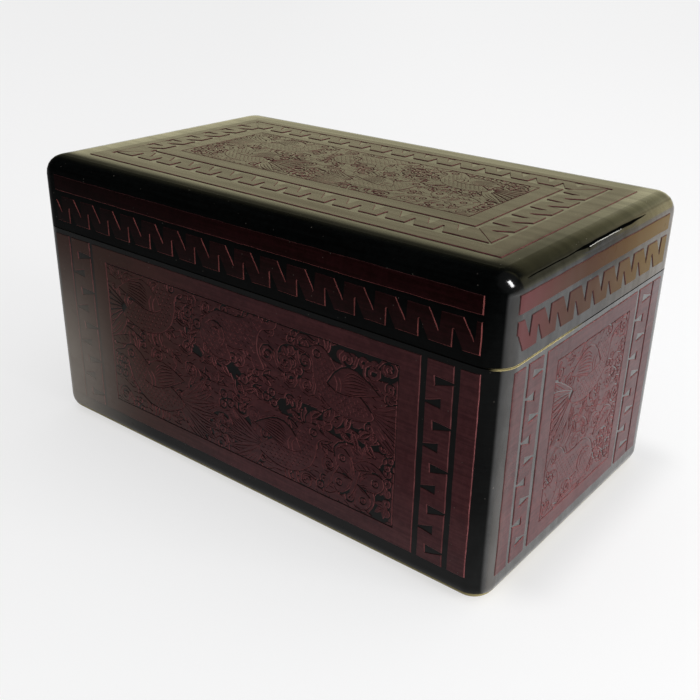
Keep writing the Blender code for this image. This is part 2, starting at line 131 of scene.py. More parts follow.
class TeaBoxFinish(bpy.types.PropertyGroup):
    """Colours of the coats, woods and metals."""

    black: FloatVectorProperty(
        name="Black coat", description="Ground coat", default=(0.0012, 0.0014, 0.0014), subtype="COLOR")
    maroon: FloatVectorProperty(
        name="Maroon coat", description="Top coat", default=(0.05, 0.0108, 0.0138), subtype="COLOR")
    # Rubbed maroon, also laid on the near part of the lid's right end as a painted highlight.
    maroon_rubbed_and_highlight: FloatVectorProperty(
        name="Rubbed maroon", description="Top coat where hands have thinned it",
        default=(0.092, 0.025, 0.028), subtype="COLOR")
    # The lid's darker maroon, also mixed into the base towards its rim as painted shade.
    maroon_deep_and_shade: FloatVectorProperty(
        name="Clean maroon", description="Top coat of the lid, which keeps its depth",
        default=(0.009, 0.0019, 0.0018), subtype="COLOR")
    # Brown maroon, laid on the left of the base's front, and on the far part of the lid's right end as
    # painted warm reflection.
    maroon_brown_and_reflection: FloatVectorProperty(
        name="Browned maroon",
        description="Top coat browned by light, on the left of the front and the lid's end",
        default=(0.047, 0.018, 0.008), subtype="COLOR")
    # The cut walls' reds are painted light: brighter than the top coat as a painted highlight on walls that
    # face the light.
    cut_red: FloatVectorProperty(
        name="Cut wall", description="Middle coat seen in the cut walls of the lid's long sides",
        default=(0.26, 0.075, 0.07), subtype="COLOR")
    cut_dull: FloatVectorProperty(
        name="Dull cut wall", description="Middle coat seen in the base's cut walls",
        default=(0.25, 0.084, 0.086), subtype="COLOR")
    # A painted shade for cut walls that face away from the light.
    cut_shaded: FloatVectorProperty(
        name="Stained cut wall", description="Middle coat where the cuts hold old dirt",
        default=(0.04, 0.015, 0.015), subtype="COLOR")
    bare: FloatVectorProperty(
        name="Bare edge", description="Wood and filler showing at worn edges",
        default=(0.46, 0.39, 0.19), subtype="COLOR")
    # A painted glint on the crack's lifted lip.
    painted_glint: FloatVectorProperty(
        name="Filler", description="Pale filler in the broken edge of the lacquer",
        default=(0.62, 0.61, 0.56), subtype="COLOR")
    dust: FloatVectorProperty(
        name="Dust", description="Dust lying on the lacquer", default=(0.2, 0.18, 0.155), subtype="COLOR")
    # Painted sheen that stands in for reflections on the left of the front, on the right end and down its
    # near corner.
    painted_sheen_colour: FloatVectorProperty(
        name="Haze", description="Dulled lacquer on the left of the front",
        default=(0.42, 0.375, 0.325), subtype="COLOR")
    # A painted warm reflection on the far part of the lid's right end.
    warm_reflection: FloatVectorProperty(
        name="Old varnish", description="Yellowed varnish on the far part of the lid's right end",
        default=(0.12, 0.075, 0.015), subtype="COLOR")
    wood_light: FloatVectorProperty(
        name="Early wood", description="Pale part of the wood's grain",
        default=(0.56, 0.4, 0.22), subtype="COLOR")
    wood_dark: FloatVectorProperty(
        name="Late wood", description="Dark part of the wood's grain",
        default=(0.36, 0.22, 0.1), subtype="COLOR")
    brass: FloatVectorProperty(
        name="Brass", description="Hinges and screws", default=(0.62, 0.42, 0.14), subtype="COLOR")
    brass_dull: FloatVectorProperty(
        name="Dull brass", description="Tarnished brass", default=(0.25, 0.16, 0.06), subtype="COLOR")
    steel: FloatVectorProperty(
        name="Nail steel", description="Nails and pins", default=(0.34, 0.33, 0.31), subtype="COLOR")
    rust: FloatVectorProperty(
        name="Rust", description="Rust on the steel", default=(0.2, 0.075, 0.03), subtype="COLOR")


class TeaBoxStage(bpy.types.PropertyGroup):
    """Where the camera stands, and how bright the stage is."""

    azimuth: FloatProperty(
        name="Azimuth", description="Turn of the camera round the box",
        default=math.radians(38.2035), subtype="ANGLE")
    elevation: FloatProperty(
        name="Elevation", description="Tilt of the camera downwards",
        default=math.radians(24.8223), subtype="ANGLE")
    roll: FloatProperty(
        name="Roll", description="Lean of the camera", default=math.radians(1.1033), subtype="ANGLE")
    eye: FloatVectorProperty(
        name="Eye", description="Place of the camera",
        default=(0.25642, -0.32024, 0.23379), subtype="TRANSLATION", unit="LENGTH")
    lens: FloatProperty(
        name="Lens", description="Focal length on a 36 mm wide frame", default=48.507, min=1, unit="CAMERA")
    floor: FloatVectorProperty(
        name="Floor", description="Colour of the table", default=(0.38, 0.38, 0.383), subtype="COLOR")
    table_white: FloatProperty(
        name="Table white", description="Glow that makes the table white to the camera", default=0.62, min=0)
    key: FloatProperty(
        name="Key", description="Power of the large lamp to the right", default=15, min=0, unit="POWER")
    fill: FloatProperty(
        name="Fill", description="Power of the lamp overhead", default=1.7, min=0, unit="POWER")
    glint: FloatProperty(
        name="Glint", description="Power of the strip lamp that shines in the near corner",
        default=8, min=0, unit="POWER")
    ambient: FloatProperty(
        name="Ambient", description="Strength of the light from all round", default=0.47, min=0)


# Flat drawing, with points as complex numbers in millimetres

# The least that a corner's reach is divided by, so that sharp corners don't run far out
MOAT_CORNER = 0.45
WALL_CORNER = 0.6


def ring(at, radius, sides=14):
    return [at + cmath.rect(radius, math.tau * i / sides) for i in range(sides)]


def oblong(left, low, right, high):
    return [complex(left, low), complex(right, low), complex(right, high), complex(left, high)]


def placed(outline, at=0j, turn=0.0, size=1.0, flip=False):
    """A copy of an outline, mirrored left to right, scaled, turned by degrees and moved, in that order."""
    spin = cmath.rect(size, math.radians(turn))
    return [at + spin * (-p.conjugate() if flip else p) for p in outline]


def rounded(points, steps=3, closed=True):
    """A smooth line through points."""
    count = len(points)
    line = []
    for i in range(count if closed else count - 1):
        near = [(i + k) % count if closed else min(max(i + k, 0), count - 1) for k in (-1, 0, 1, 2)]
        a, b, c, d = (points[k] for k in near)
        for step in range(steps):
            t = step / steps
            line.append(0.5 * (2 * b + (c - a) * t + (2 * a - 5 * b + 4 * c - d) * t ** 2
                               + (3 * b - a - 3 * c + d) * t ** 3))
    return line if closed else line + [points[-1]]


def bow(length, bend, t):
    """The place at a share t of a line along +x that is bowed sideways by bend."""
    return complex(length * t, bend * math.sin(math.pi * t))


def fullness(t):
    """How full a leaf is at a share t of its length, most a little before its middle."""
    return math.sin(math.pi * t ** 0.8)


def leaf(length, width, bend=0.0, steps=7):
    """A pointed leaf from the origin along +x, bowed sideways by bend."""
    upper, lower = [], []
    for i in range(1, steps):
        t = i / steps
        spine = bow(length, bend, t)
        half = 0.5 * width * fullness(t)
        upper.append(spine + 1j * half)
        lower.append(spine - 1j * half)
    return [0j, *lower, complex(length, 0), *reversed(upper)]


def stroke(line, width, blunt=0.3):
    """A gouge stroke along a line, fullest in its middle."""
    last = len(line) - 1
    left, right = [], []
    for i, p in enumerate(line):
        way = line[min(i + 1, last)] - line[max(i - 1, 0)]
        full = blunt + (1 - blunt) * math.sin(math.pi * i / last)
        side = 0.5 * width * full * 1j * way / abs(way)
        left.append(p + side)
        right.append(p - side)
    return right + left[::-1]


def turned_area(outline):
    """An outline's area, negative if it runs clockwise."""
    following = outline[1:] + outline[:1]
    return 0.5 * sum((p.conjugate() * q).imag for p, q in zip(outline, following))


def grown(outline, margin):
    """An outline pushed outwards by a margin, which sharp corners don't much exceed."""
    if turned_area(outline) < 0:
        outline = outline[::-1]
    result = []
    for i, p in enumerate(outline):
        before = p - outline[i - 1]
        after = outline[(i + 1) % len(outline)] - p
        out = sum(-1j * edge / (abs(edge) or 1) for edge in (before, after))
        result.append(p + margin * out / max(0.5 * abs(out) ** 2, MOAT_CORNER))
    return result


def dense(outline, most):
    """An outline with its long edges split."""
    line = []
    for i, p in enumerate(outline):
        q = outline[(i + 1) % len(outline)]
        pieces = max(1, math.ceil(abs(q - p) / most))
        line += [p + (q - p) * k / pieces for k in range(pieces)]
    return line


def inside(p, outline):
    """Whether a point lies in an outline."""
    crossed = False
    for a, b in zip(outline, outline[1:] + outline[:1]):
        if (a.imag > p.imag) != (b.imag > p.imag):
            edge = a.real + (p.imag - a.imag) * (b.real - a.real) / (b.imag - a.imag)
            crossed ^= p.real < edge
    return crossed


# Figures: lists of (step, outline), where a step is island, raise or cut, and lengths are in millimetres


def moved(steps, at, turn):
    """A figure turned by degrees and moved."""
    return [(step, placed(outline, at, turn)) for step, outline in steps]


def incised(points, width=0.55):
    """A smooth line cut into a figure."""
    return ("cut", stroke(rounded(points, closed=False), width))


def scales(outline, pitch, turn=0.0):
    """Rows of small curved cuts that fill an outline."""
    cell = stroke([pitch * p for p in (-0.36 + 0.14j, -0.16j, 0.36 + 0.14j)], 0.45)
    row_pitch = 0.62 * pitch
    left, right = min(p.real for p in outline), max(p.real for p in outline)
    low, high = min(p.imag for p in outline), max(p.imag for p in outline)
    steps = []
    for row in range(int((high - low) / row_pitch) + 1):
        for column in range(int((right - left) / pitch) + 1):
            at = complex(left + pitch * (column + 0.5 * (row % 2)), low + row_pitch * row)
            if all(inside(at + 0.55 * pitch * way, outline) for way in (1, -1, 1j, -1j)):
                steps.append(("cut", placed(cell, at, turn)))
    return steps


def ringed(at, radius):
    """A raised eye or bead with a hole in it."""
    bead = ring(at, radius, 10)
    return [("cut", ring(at, radius + 0.8)), ("raise", bead), ("cut", ring(at, radius * 0.4, 7))]


def fan(root, turns, length, width, bend=1.2):
    """Feathers spread from a root, each with two lines cut along it."""
    feather = [("island", leaf(length, width, bend))]
    for side in (-0.17, 0.17):
        line = [bow(length, side * width + bend, t) for t in (0.3, 0.5, 0.7, 0.9)]
        feather.append(("cut", stroke(line, 0.5)))
    return [step for turn in turns for step in moved(feather, root, turn)]


def bird(tail=19.0, spread=80.0):
    """A standing bird that faces +x, about 46 mm from beak to tail."""
    turns = [180 + spread * (i / 6 - 0.5) for i in range(7)]
    steps = fan(-10.5 - 0.8j, turns, tail, 4.4)
    for foot in (1.5, 5.5):
        leg = [foot - 5j, foot - 0.8 - 9j, foot + 0.6 - 12.4j, foot + 3.4 - 13j]
        steps.append(("island", stroke(rounded(leg, closed=False), 1.5, 0.7)))
    for turn, length in ((122, 6.5), (100, 7.5), (78, 6.5)):
        steps.append(("island", placed(leaf(length, 2.6, 0.5), 13.5 + 13.5j, turn)))
    body = rounded([
        -13 - 1.8j, -7 + 3j, 0 + 6j, 5.5 + 9j, 9.5 + 13j, 13.6 + 15.4j, 17.4 + 14.4j, 19.6 + 12.4j,
        24.6 + 10.6j, 19.4 + 10j, 16.8 + 7.6j, 15.8 + 3j, 12.6 - 2.6j, 6 - 6.6j, -2 - 7.2j, -8.5 - 5.2j])
    steps.append(("island", body))
    steps += scales(body, 2.4, 20)
    wing = [("island", leaf(23, 10.5, -2.5))]
    for i in range(-3, 4):
        side = i * 1.35
        tip = complex(18.5, side * 0.6 - 1.8)
        wing.append(incised([complex(7 + 0.4 * abs(i), side * 0.8 - 1), complex(12, side - 2), tip], 0.5))
    for reach in (3.2, 5.2):
        wing.append(incised([complex(reach, 2.8), complex(reach + 1.1, -0.6), complex(reach, -3.6)], 0.6))
    return steps + moved(wing, 8.6 + 2.6j, 166) + ringed(15.6 + 11.8j, 1.2)


def hare():
    """A crouching hare that faces +x, about 40 mm long."""
    ear_root, ear_turns = 13.5 + 12.5j, (112, 138)
    steps = [("island", placed(leaf(12, 3.6, 0.8), ear_root, turn)) for turn in ear_turns]
    steps += [("cut", placed(stroke([3, 6 + 0.5j, 10], 0.6), ear_root, turn)) for turn in ear_turns]
    body = rounded([
        -17 - 2j, -14 + 4j, -7 + 8j, 2 + 7.5j, 8 + 8.5j, 11 + 12j, 15 + 14j, 19 + 12.5j, 22 + 9j, 20 + 6.4j,
        15 + 5.4j, 12.4 + 2j, 12 - 4j, 14.5 - 9.6j, 10 - 9.8j, 7.4 - 4.4j, 0 - 4.8j, -4 - 4.4j, -2 - 9.8j,
        -10 - 10j, -14.5 - 6.5j])
    steps.append(("island", body))
    steps += scales(body, 2.5, -8)
    haunch = [cmath.rect(5.4, math.radians(a)) - 9.5 - 1.5j for a in (-60, -10, 40, 90, 140)]
    steps.append(incised(haunch, 0.8))
    steps.append(incised([p * 0.55 - 4.2 - 0.7j for p in haunch]))
    return steps + ringed(17.2 + 10.4j, 1.2) + ringed(-18.4 + 0.6j, 1.6)


def flower(petals=8, radius=9.0):
    """An open flower with a ringed heart, in a round cut."""
    steps = [("cut", ring(0j, radius + 0.6, 30))]
    petal = leaf(radius * 0.62, radius * 0.6, 0, 6)
    blunt = [p if p.real < radius * 0.5 else complex(radius * 0.55, p.imag) for p in petal]
    for i in range(petals):
        turn = 360 * i / petals
        steps.append(("island", placed(blunt, cmath.rect(radius * 0.4, math.radians(turn)), turn)))
        for side in (-0.1, 0.1):
            vein = (complex(0.5, 0.5 * side), complex(0.68, side), complex(0.86, side))
            steps.append(("cut", placed(stroke([radius * p for p in vein], 0.5), 0j, turn)))
    steps.append(("island", ring(0j, radius * 0.38)))
    return steps + ringed(0j, radius * 0.2)


def veined_leaf(length, width, bend):
    """A broad leaf with its veins cut in."""
    steps = [("island", leaf(length, width, bend, 9))]
    steps.append(incised([bow(length, bend, t) for t in (0.08, 0.35, 0.6, 0.9)], 0.65))
    for t in (0.2, 0.32, 0.44, 0.56, 0.68, 0.79):
        root = bow(length, bend, t)
        reach = width * 0.36 * fullness(t)
        for side in (-1, 1):
            tip = root + reach * complex(0.8, side)
            steps.append(("cut", stroke([root, root + reach * complex(0.45, 0.5 * side), tip], 0.45)))
    return steps


def spray(points, leaf_length):
    """A curved stem with leaves on alternate sides and a bead at its end."""
    line = rounded(points, 5, closed=False)
    steps = [("island", stroke(line, 2.0, 0.6))]
    for number, i in enumerate(range(2, len(line) - 1, 2)):
        way = math.degrees(cmath.phase(line[i + 1] - line[i - 1]))
        side = 1 if number % 2 else -1
        steps += moved(veined_leaf(leaf_length, leaf_length * 0.42, side * leaf_length * 0.1),
                       line[i], way + side * 52)
    return steps + ringed(line[-1], 2.0)


def butterfly():
    """A butterfly seen from above, about 26 mm across."""
    upper = rounded([0.6 + 1j, 4 + 8j, 10 + 11j, 13 + 8j, 11 + 3j, 5 + 0.5j])
    lower = rounded([0.6 - 0.5j, 6 - 0.8j, 10 - 3j, 9.4 - 8j, 5 - 10j, 2 - 6j])
    steps = []
    for flip in (False, True):
        for outline, spot in ((upper, 9 + 6.6j), (lower, 6.6 - 5.4j)):
            steps.append(("island", placed(outline, flip=flip)))
            steps += ringed(placed([spot], flip=flip)[0], 1.2)
        for tip in (4.4 + 9j, 6 + 9j, 7.6 + 3.4j, 8.4 + 1.8j, 3.6 - 8j, 8 - 1.8j):
            steps.append(("cut", placed(stroke([1.4 + tip * 0.2, tip * 0.55, tip * 0.85], 0.5), flip=flip)))
    steps.append(("island", rounded([0.9 + 5j, 0.9 - 3j, 0 - 8j, -0.9 - 3j, -0.9 + 5j, 0 + 6.4j])))
    return steps


def curl():
    """A small scroll."""
    line = [cmath.rect(3.6 * (1 - 0.78 * i / 11), 0.75 * i) for i in range(12)]
    return [("island", stroke([line[0] - 3.4j, *line], 1.15, 0.55))]


def sprig():
    """Three small leaves on a point."""
    steps = []
    for turn, length in ((52, 5.2), (90, 6.4), (128, 5.2)):
        vein = stroke([1.6, length * 0.5 + 0.3j, length * 0.84], 0.45)
        steps += moved([("island", leaf(length, 2.2, 0.4)), ("cut", vein)], -2.6j, turn)
    return steps


def beads():
    """Three rings in a cluster."""
    return [step for turn in (90, 210, 330) for step in ringed(cmath.rect(2.3, math.radians(turn)), 1.3)]


def pearls(length, radius):
    """A row of rings along +x."""
    count = max(2, round(length / (2 * radius + 0.9)))
    return [step for i in range(count) for step in ringed(complex(length * (i + 0.5) / count, 0), radius)]


def patch(*points):
    """An open piece of black ground."""
    return [("cut", rounded(points))]


def put(steps, at=0j, turn=0.0, size=1.0, flip=False):
    """A figure and its place from the middle of its field."""
    return steps, at, turn, size, flip


# How the knife works, in millimetres unless a comment says otherwise

# The moat round a figure. Its width follows noise, by a share, and it slips aside by a share of that width
MOAT_SPAN = 4.0
MOAT_LEVEL = 2.5
MOAT_VARIES = 0.8
MOAT_SLIP = 0.45
MOAT_SWING = 5.0

# The small cuts that fill a field. Their flow is in degrees, and their steps are in pitches
GOUGE_STRAY = (1.1, 0.9)
GOUGE_REACH = (0.8, 2.5)
GOUGE_BOW = 0.8
GOUGE_WIDTH = (0.4, 0.68)
GOUGE_STEP = (0.9, 1.4)
GOUGE_FLOW = 120
FLOW_SPAN = 30

# The wobble of a line: its longest straight run, how far it keeps its trend, and steps through the noise
LONGEST_EDGE = 3.0
WOBBLE_SPAN = 7
SEED_STEP = 3.7
SIDEWAYS = Vector((0, 0, 40.3))

# The side the knife leaned to, which is also the side the light comes from. Walls that face well away from it
# get painted shade
KNIFE_AND_LIGHT_WAY = Vector((0.6, -0.8))
LIT_FROM = -0.1

FIELD_LINE = 0.7
STRAY = 30.0
FILLER_PITCH = 9.5
FILLER_STRAY = (0.2, 0.8)
FILLER_SIZES = (0.8, 1.25)
FILLERS = (curl, curl, sprig, beads)
TOP_ZIGZAG_PITCH = 13.1
TOP_MITRE = 0.96
MITRE_GAP = 0.7
COLUMN_PITCH = 17.7
COLUMN_LEAD = 4.0
COLUMN_MARGIN = 1.0

# The smallest raised part that holds, in square millimetres
CRUMB = 0.12

# One unit of a zigzag, as fractions of its pitch and width, and one of a column, across it and down it
ZIGZAG_NOTCHES = (
    (-0.08j, 0.56j, 0.03 + 0.6j, 0.08 + 0.57j, 0.14 + 0.42j, 0.3 + 0.08j, 0.36 - 0.08j),
    (0.29 + 1.08j, 0.3 + 1j, 0.42 + 0.75j, 0.55 + 0.5j, 0.61 + 0.36j, 0.645 + 0.36j, 0.68 + 1j,
     0.685 + 1.08j),
)
COLUMN_NOTCHES = (
    (-0.1 + 0.145j, 0.6 + 0.0j, 0.6 + 0.24j, -0.1 + 0.19j),
    (1.1 + 0.58j, 0.27 + 0.54j, 0.32 + 0.77j, 1.1 + 0.63j),
)


def without_crumbs(points, triangles):
    """The triangles that hang together in parts too large to break off."""
    sharing = {}
    for number, corners in enumerate(triangles):
        for i in range(3):
            sharing.setdefault(frozenset((corners[i - 1], corners[i])), []).append(number)
    waiting = set(range(len(triangles)))
    kept = []
    while waiting:
        part = [waiting.pop()]
        for number in part:
            corners = triangles[number]
            for i in range(3):
                beside = waiting.intersection(sharing[frozenset((corners[i - 1], corners[i]))])
                waiting -= beside
                part += beside
        if sum(area_tri(*(points[i] for i in triangles[number])) for number in part) > CRUMB:
            kept += part
    return [triangles[number] for number in sorted(kept)]


class Carving:
    """Outlines drawn one over another, each raised in maroon or cut back to black."""

    def __init__(self, sizes):
        self.sizes = sizes
        self.outlines = []

    def raised(self, outline):
        self.outlines.append((outline, True))

    def cut(self, outline):
        self.outlines.append((outline, False))

    def figure(self, steps, at=0j, turn=0.0, size=1.0, flip=False):
        """Draws a figure's steps. An island is raised inside a cut moat."""
        for step, outline in steps:
            outline = placed(outline, at, turn, size, flip)
            if step == "island":
                first = outline[0]
                uneven = noise.noise(Vector((first.real / MOAT_SPAN, first.imag / MOAT_SPAN, MOAT_LEVEL)))
                moat = self.sizes.moat / MM * (1 + MOAT_VARIES * uneven)
                self.cut(placed(grown(outline, moat), moat * cmath.rect(MOAT_SLIP, MOAT_SWING * uneven)))
            if step == "cut":
                self.cut(outline)
            else:
                self.raised(outline)

    def zigzag(self, start, along, across, pitch, lead=0.0, mitre=0.0):
        """A band of leaning teeth: notches from both edges of a strip, whose ends may be cut aslant."""
        way = along / abs(along)
        slant = mitre * abs(across)
        far = start + along
        self.raised([start, far, far - slant * way + across, start + slant * way + across])
        room = abs(along) - 2 * slant - lead
        units = round(room / pitch)
        step = pitch if lead else room / units
        for i in range(-1 if lead else 0, units):
            root = start + (slant + lead + i * step) * way
            for notch in ZIGZAG_NOTCHES:
                self.cut([root + step * way * p.real + across * p.imag for p in notch])

    def column(self, left, low, right, high, upturned):
        """A strip notched by triangles from its left and right edges in turn."""
        self.raised(oblong(left, low, right, high))
        down = COLUMN_PITCH if upturned else -COLUMN_PITCH
        edge = low - COLUMN_LEAD if upturned else high + COLUMN_LEAD
        for i in range(math.ceil((high - low + COLUMN_LEAD) / COLUMN_PITCH)):
            for notch in COLUMN_NOTCHES:
                cut = [complex(left + (right - left) * p.real, edge + down * (i + p.imag)) for p in notch]
                if all(low + COLUMN_MARGIN < p.imag < high - COLUMN_MARGIN for p in cut):
                    self.cut(cut)

    def gouges(self, field, rng):
        """Fills a field with small curved cuts that follow a wandering flow."""
        left, low, right, high = field
        pitch = self.sizes.gouge_pitch / MM
        rows = int((high - low) / pitch)
        aside, above = GOUGE_STRAY
        for row in range(rows):
            y = low + (row + 0.5) * (high - low) / rows
            x = left + pitch * (0.5 + 0.5 * (row % 2))
            while x < right - 0.4 * pitch:
                at = complex(x + rng.uniform(-aside, aside), y + rng.uniform(-above, above))
                trend = noise.noise(Vector((at.real / FLOW_SPAN, at.imag / FLOW_SPAN, self.sizes.seed)))
                reach = rng.uniform(*GOUGE_REACH)
                line = [complex(-reach, 0), complex(0, rng.uniform(-GOUGE_BOW, GOUGE_BOW)), complex(reach, 0)]
                self.cut(placed(stroke(line, rng.uniform(*GOUGE_WIDTH)), at, GOUGE_FLOW * trend))
                x += pitch * rng.uniform(*GOUGE_STEP)

    def fillers(self, field, rng):
        """Scatters scrolls, sprigs and beads over a field."""
        left, low, right, high = field
        columns, rows = round((right - left) / FILLER_PITCH), round((high - low) / FILLER_PITCH)
        for i in range(columns * rows):
            x = left + (right - left) * (i % columns + rng.uniform(*FILLER_STRAY)) / columns
            y = low + (high - low) * (i // columns + rng.uniform(*FILLER_STRAY)) / rows
            kind = rng.choice(FILLERS)
            turn, size = rng.uniform(0, 360), rng.uniform(*FILLER_SIZES)
            self.figure(kind(), complex(x, y), turn, size, rng.random() < 0.5)

    def panel(self, outer, inner, rng, figures):
        """A frame round a field of figures on gouged ground.

        Figures that begin with a cut are drawn before the scattered ones, and the others after them.
        """
        self.raised(oblong(*outer))
        left, low, right, high = inner
        middle = complex(left + right, low + high) / 2
        self.gouges(inner, rng)
        for under in (True, False):
            for steps, at, *posture in figures:
                if (steps[0][0] == "cut") == under:
                    self.figure(steps, middle + at, *posture)
            if under:
                self.fillers(inner, rng)
        self.border(outer, inner)
        self.around(inner, -FIELD_LINE)
        self.around(outer, STRAY)

    def border(self, outer, inner):
        """A plain raised border."""
        left, low, right, high = inner
        far_left, far_low, far_right, far_high = outer
        for strip in ((far_left, far_low, far_right, low), (far_left, high, far_right, far_high),
                      (far_left, far_low, left, far_high), (right, far_low, far_right, far_high)):
            self.raised(oblong(*strip))

    def around(self, inner, reach):
        """Cuts a band round a rectangle, outwards if its reach is positive and inwards if not."""
        left, low, right, high = inner
        below, above = low - reach, high + reach
        for side in ((left, below, right, low), (left, high, right, above),
                     (left - reach, below, left, above), (right, below, right + reach, above)):
            near, far = sorted(side[::2])
            foot, head = sorted(side[1::2])
            self.cut(oblong(near, foot, far, head))

    def triangles(self, guides):
        """Corner points, raised triangles and their outer edges, once the outlines lie over one another."""
        stray = self.sizes.wobble / MM
        corners, loops = [], []
        for outline, _ in self.outlines:
            if turned_area(outline) < 0:
                outline = outline[::-1]
            first = len(corners)
            for p in dense(outline, LONGEST_EDGE):
                spot = Vector((p.real / WOBBLE_SPAN, p.imag / WOBBLE_SPAN, SEED_STEP * self.sizes.seed))
                shift = Vector((noise.noise(spot), noise.noise(spot + SIDEWAYS)))
                corners.append(Vector((p.real, p.imag)) + stray * shift)
            loops.append(list(range(first, len(corners))))
        edges = []
        for p, q in guides:
            edges.append((len(corners), len(corners) + 1))
            corners += [Vector((p.real, p.imag)), Vector((q.real, q.imag))]
        points, _, faces, _, _, owners = delaunay_2d_cdt(corners, edges, loops, 1, 1e-4)
        kept = [f for f, owner in zip(faces, owners) if owner and self.outlines[max(owner)][1]]
        kept = without_crumbs(points, kept)
        directed = {(f[i - 1], f[i]) for f in kept for i in range(len(f))}
        rim = [(a, b) for a, b in directed if (b, a) not in directed]
        return points, kept, sorted(rim)


# Faces of the box

GUIDE_DEPTHS = (0, 0.9, 1.8)
FAR_BELOW = -1000


class Face:
    """One face of the box, with flat coordinates in millimetres and rounded edges."""

    def __init__(self, origin, along, up, width, heights, rounds):
        self.origin = Vector(origin)
        self.along = Vector(along)
        self.up = Vector(up)
        self.normal = self.along.cross(self.up)
        self.width = width
        self.heights = heights
        self.rounds = rounds

    @staticmethod
    def past(value, low, high, radius):
        """How far a place is beyond the flat part of its face, signed."""
        if value > high - radius:
            return value - high + radius
        return min(value - low - radius, 0)

    def lay(self, u, v, lift):
        """The point over a flat place, lifted from the face along its normal, in metres."""
        su = self.past(u, 0, self.width, self.rounds[0])
        sv = self.past(v, *self.heights, self.rounds[1])
        falls = [r - math.sqrt(max(r * r - s * s, 0)) for s, r in zip((su, sv), self.rounds)]
        normal = self.normal + self.along * (su / self.rounds[0]) + self.up * (sv / self.rounds[1])
        flat = self.origin + self.along * u + self.up * v - self.normal * sum(falls)
        return (flat + normal.normalized() * lift) * MM

    def guides(self):
        """Lines across the rounded edges, which keep the ornament's triangles near the curve."""
        low, high = max(self.heights[0], 0), self.heights[1]
        lines = []
        for depth in GUIDE_DEPTHS:
            for u in (self.rounds[0] - depth, self.width - self.rounds[0] + depth):
                lines.append((complex(u, low), complex(u, high)))
            v = high - self.rounds[1] + depth
            lines.append((complex(0, v), complex(self.width, v)))
        return lines


def box_faces():
    """The box's faces by name. The sides reach far below the table, so they have no rounding at the foot."""
    x, y = LENGTH / 2, DEPTH / 2
    tall = (FAR_BELOW, HEIGHT)
    upright = (0, 0, 1)
    rounds = (CORNER_ROUND, TOP_ROUND)
    return {
        "front": Face((-x, -y, 0), (1, 0, 0), upright, LENGTH, tall, rounds),
        "right": Face((x, -y, 0), (0, 1, 0), upright, DEPTH, tall, rounds),
        "back": Face((x, y, 0), (-1, 0, 0), upright, LENGTH, tall, rounds),
        "left": Face((-x, y, 0), (0, -1, 0), upright, DEPTH, tall, rounds),
        "top": Face((-x, -y, HEIGHT), (1, 0, 0), (0, 1, 0), LENGTH, (0, DEPTH), (TOP_ROUND, TOP_ROUND)),
    }


def add_piece(name, mesh, finishes, body):
    """Makes a piece of lacquer from a mesh, and lets it ride on a body."""
    data = bpy.data.meshes.new(name)
    mesh.to_mesh(data)
    mesh.free()
    for finish in finishes:
        data.materials.append(finish)
    piece = bpy.data.objects.new(name, data)
    bpy.context.scene.collection.objects.link(piece)
    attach(piece, body)


def outward(points, a, b):
    """The way out of a raised part, square to one of its edges."""
    edge = points[b] - points[a]
    return Vector((edge.y, -edge.x)).normalized()


def relief_piece(name, carving, face, body, finishes):
    """Makes a carving a piece on a face, with finishes for its tops, its walls that face the light, and its
    walls that face away, which are painted shade.
    """
    sizes = carving.sizes
    points, faces, rim = carving.triangles(face.guides())
    out = {}
    for a, b in rim:
        for corner in (a, b):
            out.setdefault(corner, []).append(outward(points, a, b))
    mesh = bmesh.new()
    top, foot = {}, {}
    for i in {i for f in faces for i in f}:
        top[i] = mesh.verts.new(face.lay(points[i].x, points[i].y, sizes.relief / MM))
    for i, normals in out.items():
        way = sum(normals, Vector((0, 0)))
        way = way / max(0.5 * way.length_squared, WALL_CORNER)
        run = sizes.wall_run / MM * (1 + sizes.lean * KNIFE_AND_LIGHT_WAY.dot(way.normalized()))
        place = points[i] + way * run
        foot[i] = mesh.verts.new(face.lay(place.x, place.y, -sizes.sink / MM))
    for f in faces:
        mesh.faces.new([top[i] for i in f])
    for a, b in rim:
        # Walls that face away from the light take the third finish, a painted shade.
        clean = KNIFE_AND_LIGHT_WAY.dot(outward(points, a, b)) > LIT_FROM
        mesh.faces.new((foot[a], foot[b], top[b], top[a])).material_index = 1 if clean else 2
    add_piece(name, mesh, finishes, body)


# Where the ornament lies, in millimetres from a face's left edge and from the table

FRONT_BASE = {
    "bars": ((9.3, 18.8), (234.2, 241.6)),
    "columns": ((20.6, 33.6), (220.6, 231.4)),
    "panel": (36.0, 12.1, 217.6, 95.3),
    "field": (44.6, 19.2, 209.0, 88.9),
}
END_BASE = {
    "bars": ((8.4, 15.6), (125.0, 132.4)),
    "columns": ((18.4, 28.6), (111.4, 123.4)),
    "panel": (32.0, 12.1, 108.4, 95.3),
    "field": (40.0, 18.8, 103.0, 89.2),
}
LONG_LID = {
    "bar": (12.6, 116.9, 240.6, 123.4),
    "zigzag": (12.6, 102.4, 240.6, 114.0),
    "pitch": 13.89,
    "lead": 8.6,
}
END_LID = {
    "bar": (7.6, 117.0, 131.4, 123.4),
    "zigzag": (7.6, 102.7, 131.4, 114.2),
    "pitch": 13.76,
    "lead": -0.6,
}

# On the lid's top, in millimetres from its left and front edges
LID_TOP = {
    "bar_outer": (17.6, 17.4, 236.0, 128.0),
    "bar_inner": (22.6, 25.3, 227.4, 124.0),
    "zigzag_outer": (23.0, 28.0, 225.4, 122.8),
    "zigzag_inner": (33.8, 38.9, 213.6, 112.6),
    "panel": (35.8, 41.3, 211.0, 110.2),
    "field": (43.6, 49.2, 203.4, 105.2),
}
TOP_DRAWS = 60


def own_draws(sizes, number):
    """Random draws that belong to one face."""
    return random.Random(sizes.seed * 100 + number)


